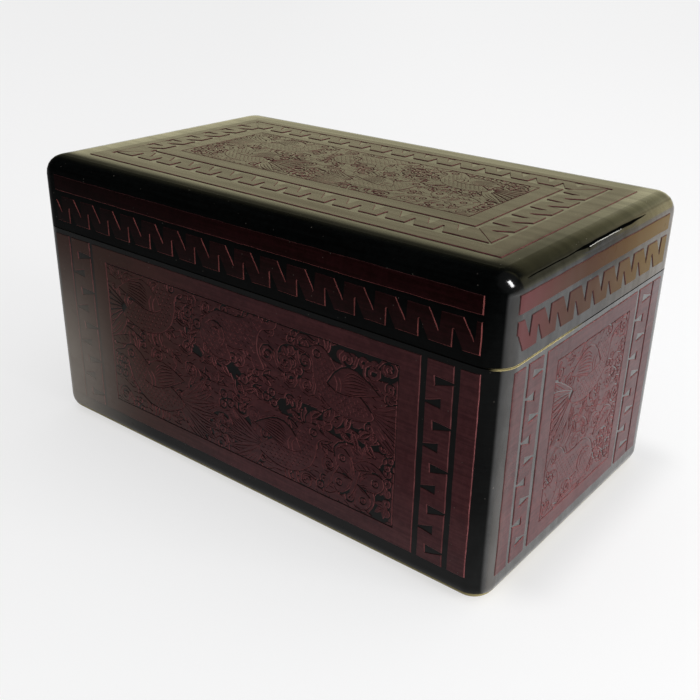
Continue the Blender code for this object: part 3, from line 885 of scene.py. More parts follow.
def base_ornament(layout, figures, sizes, number, upturned):
    """A framed field between notched columns and bars, for a side of the base."""
    carving = Carving(sizes)
    carving.panel(layout["panel"], layout["field"], own_draws(sizes, number), figures)
    _, low, _, high = layout["panel"]
    for left, right in layout["bars"]:
        carving.raised(oblong(left, low, right, high))
    for left, right in layout["columns"]:
        carving.column(left, low, right, high, upturned)
    return carving


def lid_side_ornament(layout, sizes):
    """A bar over a zigzag, for a side of the lid."""
    carving = Carving(sizes)
    carving.raised(oblong(*layout["bar"]))
    left, low, right, high = layout["zigzag"]
    along, across = complex(right - left, 0), complex(0, high - low)
    carving.zigzag(complex(left, low), along, across, layout["pitch"], layout["lead"])
    return carving


def lid_top_ornament(figures, sizes):
    """A framed field inside a mitred zigzag and a bar, for the lid's top."""
    carving = Carving(sizes)
    carving.panel(LID_TOP["panel"], LID_TOP["field"], own_draws(sizes, TOP_DRAWS), figures)
    carving.border(LID_TOP["bar_outer"], LID_TOP["bar_inner"])
    left, low, right, high = LID_TOP["zigzag_outer"]
    in_left, in_low, in_right, in_high = LID_TOP["zigzag_inner"]
    gap = MITRE_GAP
    runs = (
        (complex(left + gap, low), complex(right - left - 2 * gap, 0), complex(0, in_low - low)),
        (complex(right, low + gap), complex(0, high - low - 2 * gap), complex(in_right - right, 0)),
        (complex(right - gap, high), complex(left - right + 2 * gap, 0), complex(0, in_high - high)),
        (complex(left, high - gap), complex(0, low - high + 2 * gap), complex(in_left - left, 0)),
    )
    for start, along, across in runs:
        carving.zigzag(start, along, across, TOP_ZIGZAG_PITCH, mitre=TOP_MITRE)
    return carving


def long_field():
    """Birds, hares, flowers and leaves for a long side, with open ground in its middle and upper right."""
    return [
        put(patch(-31 + 26j, -26 + 24j, -25 + 11j, -3 + 9j, 4 + 3j, 5 - 13j, 0 - 13j, -4 + 4j, -28 + 7j)),
        put(patch(24 + 2j, 40 + 4j, 60 + 2j, 78 + 4j, 78 - 3j, 60 - 6j, 40 - 3j, 25 - 5j)),
        put(patch(52 + 34j, 79 + 34j, 79 + 26j, 52 + 27j)),
        put(patch(0 - 33j, 7 - 33j, 8 - 20j, 5 - 8j, -1 - 8j, 1 - 20j)),
        put(patch(70 - 33j, 80 - 33j, 80 - 8j, 75 - 10j, 74 - 22j)),
        put(pearls(26, 2.3), 53 + 30.6j),
        put(pearls(58, 1.8), 78.6 - 32j, 90),
        put(spray([-12 - 2j, -5 + 1j, 4 - 1j, 13 + 2j], 7), 40 - 1j),
        put(spray([-11 - 2j, -4 + 1j, 4 - 1j, 12 + 2j], 7), 64 - 1j),
        put(spray([-10 - 3j, -4 + 2j, 3 - 1j, 10 + 3j], 6.5), -12 + 8j, 4),
        put(spray([-8 + 0j, -3 + 1j, 3 - 1j, 8 + 0j], 6), -28 + 17j, 96),
        put(spray([-8 + 0j, -3 + 1j, 3 - 1j, 8 + 0j], 6), 3 - 4j, 84),
        put(veined_leaf(22, 9, 2), -82 - 2j, 12),
        put(veined_leaf(20, 8, -2), 78 - 14j, 196),
        put(veined_leaf(18, 8, 2), 48 - 32j, 40),
        put(veined_leaf(16, 7, -2), 70 - 33j, 110),
        put(bird(22, 76), -56 + 17j, 6, 1.22),
        put(hare(), -2 + 22j, 4, 1.15),
        put(flower(9, 7), 30 + 20j, 10),
        put(bird(22, 70), 58 + 13j, -8, 1.05, True),
        put(bird(22, 84), -50 - 20j, 2, 1.2, True),
        put(flower(8, 8), -10 - 25j, 6),
        put(bird(21, 80), 26 - 22j, 5, 1.1),
        put(butterfly(), 63 - 22j, -18, 0.95),
    ]


def end_field():
    """A bird, a hare, a flower and leaves for a short side."""
    return [
        put(pearls(22, 2.0), 8 + 31j),
        put(pearls(56, 1.7), 28.8 - 32j, 90),
        put(spray([-14 - 2j, -5 + 1j, 4 - 1j, 14 + 2j], 7), -8 + 1j, 4),
        put(veined_leaf(18, 8, 2), -30 + 8j, 68),
        put(veined_leaf(17, 8, -2), 27 - 8j, 200),
        put(bird(22, 80), -2 + 17j, 8, 1.12),
        put(hare(), -6 - 21j, 0, 1.08, True),
        put(flower(8, 7), 20 - 22j, 8),
    ]


def top_field():
    """Birds, a hare, flowers and leaves for the lid's top."""
    return [
        put(pearls(40, 1.9), 36 + 25j),
        put(pearls(44, 1.7), -76.4 - 22j, 90),
        put(pearls(44, 1.7), 76.4 - 22j, 90),
        put(spray([-12 - 2j, -5 + 1j, 4 - 1j, 13 + 2j], 7), 42 - 1j),
        put(spray([-10 - 3j, -4 + 2j, 3 - 1j, 10 + 3j], 6.5), -14 + 5j, 4),
        put(veined_leaf(20, 8, 2), -76 - 2j, 10),
        put(veined_leaf(18, 8, -2), 72 - 8j, 200),
        put(bird(22, 70), -50 + 12j, 4),
        put(hare(), -2 + 16j, 2),
        put(flower(9, 7), 27 + 14j, 10),
        put(bird(22, 70), 54 + 11j, -6, 0.95, True),
        put(bird(22, 76), -48 - 15j, 2, 0.98, True),
        put(flower(8, 7.5), -9 - 18j, 6),
        put(bird(21, 76), 24 - 15j, 5, 0.95),
        put(butterfly(), 59 - 16j, -18, 0.85),
    ]


# Shader nodes


class Nodes:
    """Adds nodes to a tree and joins them, one call to a node."""

    def __init__(self, tree):
        self.tree = tree

    def add(self, kind, inputs=None, **settings):
        node = self.tree.nodes.new(kind)
        for key, value in settings.items():
            setattr(node, key, value)
        for key, value in (inputs or {}).items():
            self.feed(node.inputs[key], value)
        return node

    def feed(self, socket, value):
        """Links a socket to another, or sets it to a plain value."""
        if isinstance(value, bpy.types.NodeSocket):
            self.tree.links.new(value, socket)
        else:
            socket.default_value = value

    def math(self, operation, first, second=0.0, clamp=False):
        node = self.add("ShaderNodeMath", {0: first, 1: second}, operation=operation, use_clamp=clamp)
        return node.outputs[0]

    def times(self, first, *others):
        """The product of several values."""
        for other in others:
            first = self.math("MULTIPLY", first, other)
        return first

    def vector_math(self, operation, first, second):
        return self.add("ShaderNodeVectorMath", {0: first, 1: second}, operation=operation).outputs

    def axes(self, vector):
        """A vector's X, Y and Z."""
        return self.add("ShaderNodeSeparateXYZ", {0: vector}).outputs

    def ramp(self, value, low, high, to_low=0.0, to_high=1.0):
        """A value eased from one range into another."""
        node = self.add("ShaderNodeMapRange", interpolation_type="SMOOTHSTEP", inputs={
            "Value": value, "From Min": low, "From Max": high, "To Min": to_low, "To Max": to_high})
        return node.outputs[0]

    def mix(self, factor, first, second):
        node = self.add("ShaderNodeMix", data_type="RGBA", inputs={0: factor, 6: first, 7: second})
        return node.outputs[2]

    def blend(self, factor, first, second):
        return self.add("ShaderNodeMix", {0: factor, 2: first, 3: second}, data_type="FLOAT").outputs[0]

    def noise(self, vector, scale, detail=3.0, rough=0.55):
        node = self.add("ShaderNodeTexNoise", {
            "Vector": vector, "Scale": scale, "Detail": detail, "Roughness": rough})
        return node.outputs["Fac"]

    def drawn_out(self, vector, stretch, detail, rough):
        """Noise drawn out into streaks, finest along the axis with the largest stretch."""
        return self.noise(self.vector_math("MULTIPLY", vector, stretch)[0], 1.0, detail, rough)


def rgba(colour):
    return (*colour, 1.0)


def effect(name, inputs, outputs):
    """A new node group, with its nodes' helper, its inputs and its outgoing sockets."""
    tree = bpy.data.node_groups.new(name, "ShaderNodeTree")
    kinds = {"value": "NodeSocketFloat", "colour": "NodeSocketColor", "vector": "NodeSocketVector"}
    for way, sockets in (("INPUT", inputs), ("OUTPUT", outputs)):
        for label, kind in sockets.items():
            tree.interface.new_socket(label, in_out=way, socket_type=kinds[kind])
    nodes = Nodes(tree)
    given = nodes.add("NodeGroupInput").outputs
    return tree, nodes, given, nodes.add("NodeGroupOutput").inputs


# Scales of the finishes' detail, per metre

SPECK_SCALE = 560.0
FILM_SCALE = 34.0
PATCH_SCALE = 26.0
FLECK_SCALE = 420.0
SKIN_SCALE = 140.0
TORN_SCALE = 180.0
PAINTED_SHEEN_SCALE = 18.0
GRIT_SCALE = 700.0
CLOUD_SCALE = 300.0
PIT_SCALE = 900.0
SIDE_STREAKS = (30.0, 30.0, 900.0)
TOP_STREAKS = (30.0, 900.0, 30.0)
WALL_STREAKS = (240.0, 240.0, 240.0)
POLISH_STREAKS = (12.0, 260.0, 90.0)
GRAIN_STREAKS = (9.0, 130.0, 130.0)
PORE_STREAKS = (60.0, 2400.0, 2400.0)


def make_dust():
    """Pale specks and a thin uneven film."""
    tree, nodes, given, out = effect(
        "dust", {"Vector": "vector", "Specks": "value", "Film": "value"}, {"Mask": "value"})
    cells = nodes.add("ShaderNodeTexVoronoi", {"Vector": given["Vector"], "Scale": SPECK_SCALE}).outputs
    speck = nodes.ramp(cells["Distance"], 0.08, 0.18, 1.0, 0.0)
    chosen = nodes.ramp(nodes.add("ShaderNodeSeparateColor", {0: cells["Color"]}).outputs[0], 0.88, 1.0)
    film = nodes.ramp(nodes.noise(given["Vector"], FILM_SCALE, 5.0, 0.65), 0.35, 0.75)
    specks = nodes.times(speck, chosen, given["Specks"])
    nodes.feed(out["Mask"], nodes.math("ADD", specks, nodes.times(film, given["Film"]), clamp=True))
    return tree


def make_rubbed_coat():
    """Hand-rubbed lacquer: drawn-out streaks, thinner patches and a slightly uneven skin."""
    tree, nodes, given, out = effect(
        "rubbed coat",
        {"Vector": "vector", "Stretch": "vector", "Colour": "colour", "Rubbed": "colour",
         "Roughness": "value"},
        {"Colour": "colour", "Roughness": "value", "Height": "value"})
    streak = nodes.drawn_out(given["Vector"], given["Stretch"], 4.0, 0.6)
    patches = nodes.noise(given["Vector"], PATCH_SCALE, 4.0, 0.6)
    fleck = nodes.noise(given["Vector"], FLECK_SCALE, 4.0, 0.7)
    thin = nodes.math("ADD", nodes.times(streak, 0.4), nodes.times(patches, 0.25))
    thin = nodes.math("ADD", thin, nodes.times(fleck, 0.35))
    nodes.feed(out["Colour"], nodes.mix(nodes.ramp(thin, 0.4, 0.62), given["Colour"], given["Rubbed"]))
    uneven = nodes.ramp(patches, 0.3, 0.7, -0.05, 0.07)
    nodes.feed(out["Roughness"], nodes.math("ADD", given["Roughness"], uneven, clamp=True))
    skin = nodes.noise(given["Vector"], SKIN_SCALE, 3.0, 0.5)
    nodes.feed(out["Height"], nodes.math("ADD", skin, nodes.times(streak, 0.35)))
    return tree


def make_worn_line():
    """Wear along a level edge: full at one height, gone at another, broken up by noise."""
    tree, nodes, given, out = effect(
        "worn line", {"Vector": "vector", "Full": "value", "Gone": "value", "Break": "value"},
        {"Mask": "value"})
    level = nodes.ramp(nodes.axes(given["Vector"])["Z"], given["Gone"], given["Full"])
    torn = nodes.noise(given["Vector"], TORN_SCALE, 4.0, 0.7)
    kept = nodes.ramp(nodes.math("SUBTRACT", torn, given["Break"]), -0.08, 0.08)
    nodes.feed(out["Mask"], nodes.times(level, kept))
    return tree


def make_polish():
    """How much of the clear polish is left: little on the long sides, more on the ends and the top."""
    tree, nodes, given, out = effect(
        "polish", {"Vector": "vector", "Sides": "value", "Ends": "value", "Top": "value"},
        {"Weight": "value"})
    place = nodes.axes(given["Vector"])
    side = nodes.times(given["Sides"], polish_of_sides(nodes, place))
    end = nodes.times(given["Ends"], polish_of_ends(nodes, place))
    on_end = nodes.ramp(nodes.math("ABSOLUTE", place["X"]), from_right(3.0), from_right(1.9))
    crown = nodes.times(given["Top"], polish_of_top(nodes, place))
    on_top = nodes.ramp(place["Z"], from_top(2.7), from_top(2.0))
    on_top = nodes.times(on_top, nodes.ramp(place["Y"], from_front(10), from_front(17)))
    weight = nodes.blend(on_top, nodes.blend(on_end, side, end), crown)
    knob = (from_right(3.8), from_front(5.5), from_top(2.5))
    near = nodes.vector_math("DISTANCE", given["Vector"], knob)["Value"]
    weight = nodes.math("MAXIMUM", weight, nodes.ramp(near, 4.6 * MM, 3 * MM, 0.0, given["Ends"]))
    streak = nodes.drawn_out(given["Vector"], POLISH_STREAKS, 4.0, 0.6)
    worn = nodes.ramp(streak, 0.3, 0.7, 0.75, 1.0)
    nodes.feed(out["Weight"], nodes.math("MULTIPLY", weight, worn, clamp=True))
    return tree


def polish_of_sides(nodes, place):
    """More polish towards the foot, and none near the top."""
    foot = nodes.ramp(place["Z"], 0.55 * BASE_HIGH.z, 4 * MM, 1.0, 4.0)
    return nodes.times(foot, nodes.ramp(place["Z"], from_top(6), BASE_HIGH.z))


def polish_of_ends(nodes, place):
    """More polish on the lid towards the back, less under its upper edge and in a dip round the middle."""
    far = nodes.ramp(place["Y"], 30 * MM, from_back(5), 1.0, 1.6)
    far = nodes.ramp(place["Z"], 0.7 * BASE_HIGH.z, BASE_HIGH.z, 1.0, far)
    shaded = nodes.ramp(place["Y"], 30 * MM, -10 * MM, 0.0, 0.55)
    shaded = nodes.ramp(place["Z"], from_top(6.5), from_top(4), 0.0, shaded)
    near_side = nodes.ramp(place["Y"], -30 * MM, -8 * MM)
    far_side = nodes.ramp(place["Y"], 36 * MM, 14 * MM)
    dip = nodes.ramp(place["Z"], from_top(20), from_top(14), 0.0, nodes.times(near_side, far_side, 0.45))
    return nodes.times(far, nodes.math("SUBTRACT", 1.0, nodes.math("MAXIMUM", shaded, dip)))


def polish_of_top(nodes, place):
    """More polish by the left edge, and along the right edge less in front and more behind."""
    left = nodes.ramp(place["X"], from_left(22), from_left(4), 1.0, 1.4)
    dulled = nodes.ramp(place["Y"], from_front(20), from_back(25), 0.4, 1.0)
    dulled = nodes.times(dulled, nodes.ramp(place["Y"], 20 * MM, from_back(10), 1.0, 1.45))
    return nodes.blend(nodes.ramp(place["X"], from_right(18), from_right(11)), left, dulled)


def make_painted_sheen():
    """A painted sheen in place of reflections: on the left of the base's front, thinly on the right end, and
    a painted highlight down its near right corner.
    """
    tree, nodes, given, out = effect(
        "painted_sheen", {"Vector": "vector", "Left": "value", "End": "value"}, {"Mask": "value"})
    place = nodes.axes(given["Vector"])
    left = nodes.ramp(place["X"], from_left(85), from_left(2))
    low = nodes.ramp(place["Z"], BASE_HIGH.z + 2 * MM, 0.25 * BASE_HIGH.z)
    front = nodes.ramp(place["Y"], from_front(9), from_front(1))
    film = nodes.times(left, left, low, front, given["Left"])
    end = nodes.ramp(place["X"], from_right(3), from_right(1))
    end = nodes.times(end, given["End"], nodes.ramp(place["Z"], from_top(6), from_top(12)))
    # Painted highlight down the near right corner, brighter towards the foot.
    corner_highlight = nodes.times(
        nodes.ramp(place["Y"], from_front(14), from_front(4)),
        nodes.ramp(place["X"], from_right(2.2), from_right(0.6)),
        nodes.ramp(place["Z"], BASE_HIGH.z, 3 * MM, 0.03, 0.15))
    film = nodes.math("ADD", film, nodes.math("ADD", end, corner_highlight))
    torn = nodes.ramp(nodes.noise(given["Vector"], PAINTED_SHEEN_SCALE, 4.0, 0.6), 0.25, 0.75, 0.7, 1.0)
    nodes.feed(out["Mask"], nodes.math("MULTIPLY", film, torn, clamp=True))
    return tree


def make_wood_grain():
    """Long grain with fine pores, along x of the given vector."""
    tree, nodes, given, out = effect(
        "wood grain", {"Vector": "vector", "Early": "colour", "Late": "colour"},
        {"Colour": "colour", "Roughness": "value", "Height": "value"})
    band = nodes.drawn_out(given["Vector"], GRAIN_STREAKS, 3.0, 0.5)
    rings = nodes.ramp(nodes.math("FRACT", nodes.times(band, 6.0)), 0.15, 0.95)
    pores = nodes.drawn_out(given["Vector"], PORE_STREAKS, 2.0, 0.5)
    dark = nodes.math("ADD", nodes.times(rings, 0.65), nodes.ramp(pores, 0.56, 0.72, 0.0, 0.4))
    nodes.feed(out["Colour"], nodes.mix(dark, given["Early"], given["Late"]))
    nodes.feed(out["Roughness"], nodes.ramp(pores, 0.3, 0.7, 0.52, 0.7))
    nodes.feed(out["Height"], nodes.math("SUBTRACT", rings, nodes.ramp(pores, 0.5, 0.7)))
    return tree


def make_tarnish():
    """Patchy dulling of a metal."""
    tree, nodes, given, out = effect(
        "tarnish", {"Vector": "vector", "Clean": "colour", "Dull": "colour", "Spread": "value"},
        {"Colour": "colour", "Roughness": "value", "Metallic": "value", "Height": "value"})
    cloud = nodes.noise(given["Vector"], CLOUD_SCALE, 5.0, 0.65)
    mask = nodes.ramp(nodes.math("ADD", cloud, given["Spread"]), 0.45, 0.75)
    nodes.feed(out["Colour"], nodes.mix(mask, given["Clean"], given["Dull"]))
    nodes.feed(out["Roughness"], nodes.ramp(mask, 0.0, 1.0, 0.28, 0.62))
    nodes.feed(out["Metallic"], nodes.ramp(mask, 0.0, 1.0, 1.0, 0.55))
    nodes.feed(out["Height"], nodes.noise(given["Vector"], PIT_SCALE, 3.0, 0.6))
    return tree


EFFECTS = {
    "dust": make_dust,
    "rubbed coat": make_rubbed_coat,
    "worn line": make_worn_line,
    "polish": make_polish,
    "painted_sheen": make_painted_sheen,
    "wood grain": make_wood_grain,
    "tarnish": make_tarnish,
}


def effect_node(nodes, name, inputs):
    """Places a shared effect in a material, and makes it first where no material has it yet."""
    tree = bpy.data.node_groups.get(name) or EFFECTS[name]()
    return nodes.add("ShaderNodeGroup", inputs, node_tree=tree).outputs


def finish_material(name, colour, specular=0.5, roughness=0.5):
    """A new material with its nodes' helper, its shader's inputs and the piece's own coordinates."""
    material = bpy.data.materials.new(name)
    material.use_nodes = True
    material.diffuse_color = rgba(colour)
    nodes = Nodes(material.node_tree)
    shader = material.node_tree.nodes["Principled BSDF"].inputs
    shader["Specular IOR Level"].default_value = specular
    shader["Roughness"].default_value = roughness
    return material, nodes, shader, nodes.add("ShaderNodeTexCoord").outputs["Object"]


def bump(nodes, shader, height, strength, distance):
    node = nodes.add("ShaderNodeBump", {"Height": height, "Strength": strength, "Distance": distance})
    nodes.feed(shader["Normal"], node.outputs["Normal"])


# Lacquer: the coat, the clear polish on it, the dust, the painted sheen in place of reflections, and how much
# rougher bare places are

COAT_ROUGHNESS = 0.3
POLISH_ROUGHNESS = 0.13
POLISH_IOR = 1.75
SPECKS = 0.4
LEFT_PAINTED_SHEEN = 1.0
END_PAINTED_SHEEN = 0.015
BARE_ROUGHER = 0.4

# Sheen of the coat itself, dust film, and clear polish on the long sides, the ends and the top
BLACK_BASE = {"sheen": 0.03, "film": 0.002, "sides": 0.04, "ends": 1.0, "top": 0.8}
BLACK_LID = {"sheen": 0.004, "film": 0.0005, "sides": 0.03, "ends": 0.72, "top": 0.68}
MAROON_BASE = {"sheen": 0.025, "film": 0.005, "sides": 0.045, "ends": 0.42, "top": 0.5}
MAROON_LID = {"sheen": 0.004, "film": 0.0, "sides": 0.045, "ends": 0.2, "top": 0.47}
CUT_WALL = {"sheen": 0.02, "film": 0.0, "sides": 0.0, "ends": 0.05, "top": 0.1}


def lacquer(name, colour, rubbed, finish, stretch, coats, wear=None, tone_and_light=None):
    """A rubbed lacquer coat under worn polish, dust and a painted sheen, and bare where a mask says."""
    _, nodes, shader, vector = finish_material(name, colour, coats["sheen"])
    shader["Coat Roughness"].default_value = POLISH_ROUGHNESS
    shader["Coat IOR"].default_value = POLISH_IOR
    coat = effect_node(nodes, "rubbed coat", {
        "Vector": vector, "Stretch": stretch, "Colour": rgba(colour), "Rubbed": rgba(rubbed),
        "Roughness": COAT_ROUGHNESS})
    dust = effect_node(nodes, "dust", {"Vector": vector, "Specks": SPECKS, "Film": coats["film"]})
    painted_sheen = effect_node(nodes, "painted_sheen", {"Vector": vector, "Left": LEFT_PAINTED_SHEEN, "End": END_PAINTED_SHEEN})
    # A tone step browns the coat and lays painted shade and painted reflections on it.
    paint = tone_and_light(nodes, vector, coat["Colour"], finish) if tone_and_light else coat["Colour"]
    # Painted sheen in place of reflections.
    paint = nodes.mix(painted_sheen["Mask"], paint, rgba(finish.painted_sheen_colour))
    paint = nodes.mix(dust["Mask"], paint, rgba(finish.dust))
    weight = effect_node(nodes, "polish", {
        "Vector": vector, "Sides": coats["sides"], "Ends": coats["ends"], "Top": coats["top"]})["Weight"]
    rough = coat["Roughness"]
    if wear:
        mask = wear(nodes, vector)
        paint = nodes.mix(mask, paint, rgba(finish.bare))
        rough = nodes.math("ADD", rough, nodes.times(mask, BARE_ROUGHER), clamp=True)
        weight = nodes.math("SUBTRACT", weight, mask, clamp=True)
    nodes.feed(shader["Base Color"], paint)
    nodes.feed(shader["Roughness"], rough)
    nodes.feed(shader["Coat Weight"], weight)
    bump(nodes, shader, coat["Height"], 0.16, 0.2 * MM)


def side_brown_and_shade(nodes, vector, paint, finish):
    """Browns the base's maroon towards the left, and darkens it towards the rim with painted shade."""
    place = nodes.axes(vector)
    left = nodes.ramp(place["X"], 10 * MM, from_left(40), 0.0, 0.75)
    left = nodes.times(left, nodes.ramp(place["Y"], from_front(20), from_front(5)))
    paint = nodes.mix(left, paint, rgba(finish.maroon_brown_and_reflection))
    # Painted shade: the maroon darkens towards the rim.
    rim = nodes.ramp(place["Z"], 0.1 * BASE_HIGH.z, BASE_HIGH.z, 0.0, 0.27)
    return nodes.mix(rim, paint, rgba(finish.maroon_deep_and_shade))


def end_warm_reflection(nodes, vector, paint, finish, most=0.3):
    """Lays a painted warm reflection on the right end, more towards the back."""
    place = nodes.axes(vector)
    end = nodes.ramp(place["X"], from_right(4), from_right(1))
    back = nodes.ramp(place["Y"], -25 * MM, LID_HIGH.y, 0.0, most)
    return nodes.mix(nodes.times(end, back), paint, rgba(finish.warm_reflection))


def end_shade_and_reflection(nodes, vector, paint, finish):
    """Darkens the lid's maroon towards the left with painted shade, and paints its right end with light: a
    red painted highlight in front that fades to brown behind, under a painted warm reflection.
    """
    place = nodes.axes(vector)
    # Painted shade: the lid's maroon darkens towards the left.
    left = nodes.ramp(place["X"], 20 * MM, from_left(40), 0.0, 0.55)
    paint = nodes.mix(left, paint, rgba(finish.black))
    # Painted light on the right end: a red painted highlight in front, brown behind.
    end = nodes.ramp(place["X"], from_right(4), from_right(1))
    faded = nodes.mix(
        nodes.ramp(place["Y"], LID_LOW.y, -20 * MM), rgba(finish.maroon_rubbed_and_highlight), rgba(finish.maroon_brown_and_reflection))
    return end_warm_reflection(nodes, vector, nodes.mix(end, paint, faded), finish, 0.85)


def worn_line(nodes, vector, full, gone, broken):
    """The mask of a worn line between two heights."""
    levels = {"Vector": vector, "Full": full, "Gone": gone, "Break": broken}
    return effect_node(nodes, "worn line", levels)["Mask"]


def near_corner(nodes, vector):
    """One along the seam by the near right corner, where the edge is rubbed bare."""
    place = nodes.axes(vector)
    right = nodes.ramp(place["X"], from_right(6), from_right(3))
    return nodes.times(right, nodes.ramp(place["Y"], from_front(62), from_front(40)))


def base_wear(nodes, vector):
    """Bare wood along the foot of the base, and on its rim by the near right corner."""
    foot = worn_line(nodes, vector, BASE_LOW.z + 2.9 * MM, BASE_LOW.z + 4.0 * MM, 0.33)
    rim = worn_line(nodes, vector, BASE_HIGH.z - 0.1 * MM, BASE_HIGH.z - 0.36 * MM, 0.2)
    return nodes.math("MAXIMUM", foot, nodes.times(rim, near_corner(nodes, vector)))


def lid_wear(nodes, vector):
    """A rim rubbed bare by the near right corner."""
    rim = worn_line(nodes, vector, LID_LOW.z, LID_LOW.z + 0.2 * MM, 0.2)
    return nodes.times(rim, near_corner(nodes, vector))


def coat_finishes(finish):
    """The lacquer materials, made once."""
    dark = [c * 2.2 for c in finish.black]
    lacquer("black_lacquer_base", finish.black, dark, finish, SIDE_STREAKS, BLACK_BASE, base_wear)
    lacquer("black_lacquer_lid", finish.black, dark, finish, SIDE_STREAKS, BLACK_LID, lid_wear, end_warm_reflection)
    deep = finish.maroon_deep_and_shade
    rubbed = [0.75 * a + 0.25 * b for a, b in zip(deep, finish.maroon)]
    lacquer("maroon_lacquer_base", finish.maroon, finish.maroon_rubbed_and_highlight, finish, SIDE_STREAKS, MAROON_BASE,
            tone_and_light=side_brown_and_shade)
    lacquer("maroon_lacquer_lid", deep, rubbed, finish, SIDE_STREAKS, MAROON_LID, tone_and_light=end_shade_and_reflection)
    lacquer("maroon_lacquer_top", deep, rubbed, finish, TOP_STREAKS, MAROON_LID)
    # Copies of the wall red for light and shade: bright as a painted highlight on the lid's and the base's
    # walls, dark as painted shade on walls that face away, and dimmed to painted shade on the top and the
    # lid's ends.
    reds = {
        "cut_wall_lid": finish.cut_red,
        "cut_wall_base": finish.cut_dull,
        "cut_wall_shaded": finish.cut_shaded,
        "cut_wall_top": [0.46 * c for c in finish.cut_dull],
    }
    for name, red in reds.items():
        lacquer(name, [0.5 * c for c in red], red, finish, WALL_STREAKS, CUT_WALL)


def coat_finish(name):
    """A lacquer material, made with the others when one is first asked for."""
    if name not in bpy.data.materials:
        coat_finishes(bpy.context.scene.tea_box_finish)
    return bpy.data.materials[name]


def chalky(name, colour, specular=0.2):
    """A dull broken surface."""
    material, nodes, shader, vector = finish_material(name, colour, specular, 0.8)
    grit = nodes.noise(vector, GRIT_SCALE, 4.0, 0.65)
    dark = rgba([c * 0.55 for c in colour])
    nodes.feed(shader["Base Color"], nodes.mix(nodes.ramp(grit, 0.35, 0.65), dark, rgba(colour)))
    bump(nodes, shader, grit, 0.3, 0.1 * MM)
    return material


def wood(name, finish, order):
    """Bare wood, with its grain along the first axis of an order."""
    material, nodes, shader, vector = finish_material(name, finish.wood_light, 0.35, 0.6)
    parts = nodes.axes(vector)
    turned = nodes.add("ShaderNodeCombineXYZ", {i: parts[axis] for i, axis in enumerate(order)}).outputs[0]
    grain = effect_node(nodes, "wood grain", {
        "Vector": turned, "Early": rgba(finish.wood_light), "Late": rgba(finish.wood_dark)})
    dust = effect_node(nodes, "dust", {"Vector": vector, "Specks": 0.15, "Film": 0.05})
    nodes.feed(shader["Base Color"], nodes.mix(dust["Mask"], grain["Colour"], rgba(finish.dust)))
    nodes.feed(shader["Roughness"], grain["Roughness"])
    bump(nodes, shader, grain["Height"], 0.25, 0.15 * MM)
    return material


def metal(name, clean, dull, spread):
    """Tarnished metal."""
    material, nodes, shader, vector = finish_material(name, clean, 0.5, 0.35)
    worn = effect_node(nodes, "tarnish", {
        "Vector": vector, "Clean": rgba(clean), "Dull": rgba(dull), "Spread": spread})
    nodes.feed(shader["Base Color"], worn["Colour"])
    nodes.feed(shader["Roughness"], worn["Roughness"])
    nodes.feed(shader["Metallic"], worn["Metallic"])
    bump(nodes, shader, worn["Height"], 0.15, 0.1 * MM)
    return material


# CAD nodes

STEEP_EDGE = math.radians(32)
SAME_POINT = 0.001 * MM


def named(*words):
    """The CAD nodes whose names hold any of these words."""
    return [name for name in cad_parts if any(word in name for word in words)]


def dress(names, material):
    """Gives CAD nodes a material."""
    for name in names:
        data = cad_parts[name].data
        data.materials.clear()
        data.materials.append(material)


def soft_roundings():
    """Modifier nodes that shade gentle edges smoothly and keep the sharp ones."""
    tree = bpy.data.node_groups.new("soft roundings", "GeometryNodeTree")
    for way in ("INPUT", "OUTPUT"):
        tree.interface.new_socket("Geometry", in_out=way, socket_type="NodeSocketGeometry")
    nodes = Nodes(tree)
    given = nodes.add("NodeGroupInput").outputs[0]
    joined = nodes.add("GeometryNodeMergeByDistance", {"Geometry": given, "Distance": SAME_POINT}).outputs[0]
    plain = nodes.add("GeometryNodeRemoveAttribute", {"Geometry": joined, "Name": "custom_normal"}).outputs[0]
    smooth = nodes.add("GeometryNodeSetShadeSmooth", {"Geometry": plain, "Shade Smooth": True}).outputs[0]
    angle = nodes.add("GeometryNodeInputMeshEdgeAngle").outputs["Unsigned Angle"]
    steep = nodes.math("GREATER_THAN", angle, STEEP_EDGE)
    split = nodes.add("GeometryNodeSetShadeSmooth", {
        "Geometry": smooth, "Selection": steep, "Shade Smooth": False}, domain="EDGE")
    nodes.add("NodeGroupOutput", {0: split.outputs[0]})
    return tree


def soften(coat):
    """Makes a coat's roundings look round, and keeps its flats flat."""
    tree = bpy.data.node_groups.get("soft roundings") or soft_roundings()
    coat.modifiers.new("soft_roundings", "NODES").node_group = tree
    even = coat.modifiers.new("even_flats", "WEIGHTED_NORMAL")
    even.keep_sharp = True
    even.weight = 100


# Operators


class TEABOX_OT_coats(bpy.types.Operator):
    """Give the two black coats their worn lacquer"""

    bl_idname = "teabox.coats"
    bl_label = "Black Coats"

    def execute(self, context):
        for part in ("base", "lid"):
            dress([f"{part}_lacquer_coat"], coat_finish(f"black_lacquer_{part}"))
            soften(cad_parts[f"{part}_lacquer_coat"])
        return {"FINISHED"}


class TEABOX_OT_base_ornament(bpy.types.Operator):
    """Cut the ornament round the base"""

    bl_idname = "teabox.base_ornament"
    bl_label = "Base Ornament"

    def execute(self, context):
        sizes = context.scene.tea_box_ornament
        faces = box_faces()
        top, wall = coat_finish("maroon_lacquer_base"), coat_finish("cut_wall_base")
        long_plan = (FRONT_BASE, long_field(), False, (top, wall, coat_finish("cut_wall_shaded")))
        end_plan = (END_BASE, end_field(), True, (top, wall, wall))
        plans = {"front": long_plan, "back": long_plan, "right": end_plan, "left": end_plan}
        for number, (side, (layout, figures, upturned, finishes)) in enumerate(plans.items(), 1):
            carving = base_ornament(layout, figures, sizes, number, upturned)
            relief_piece(f"base_{side}_relief", carving, faces[side], "base", finishes)
        return {"FINISHED"}


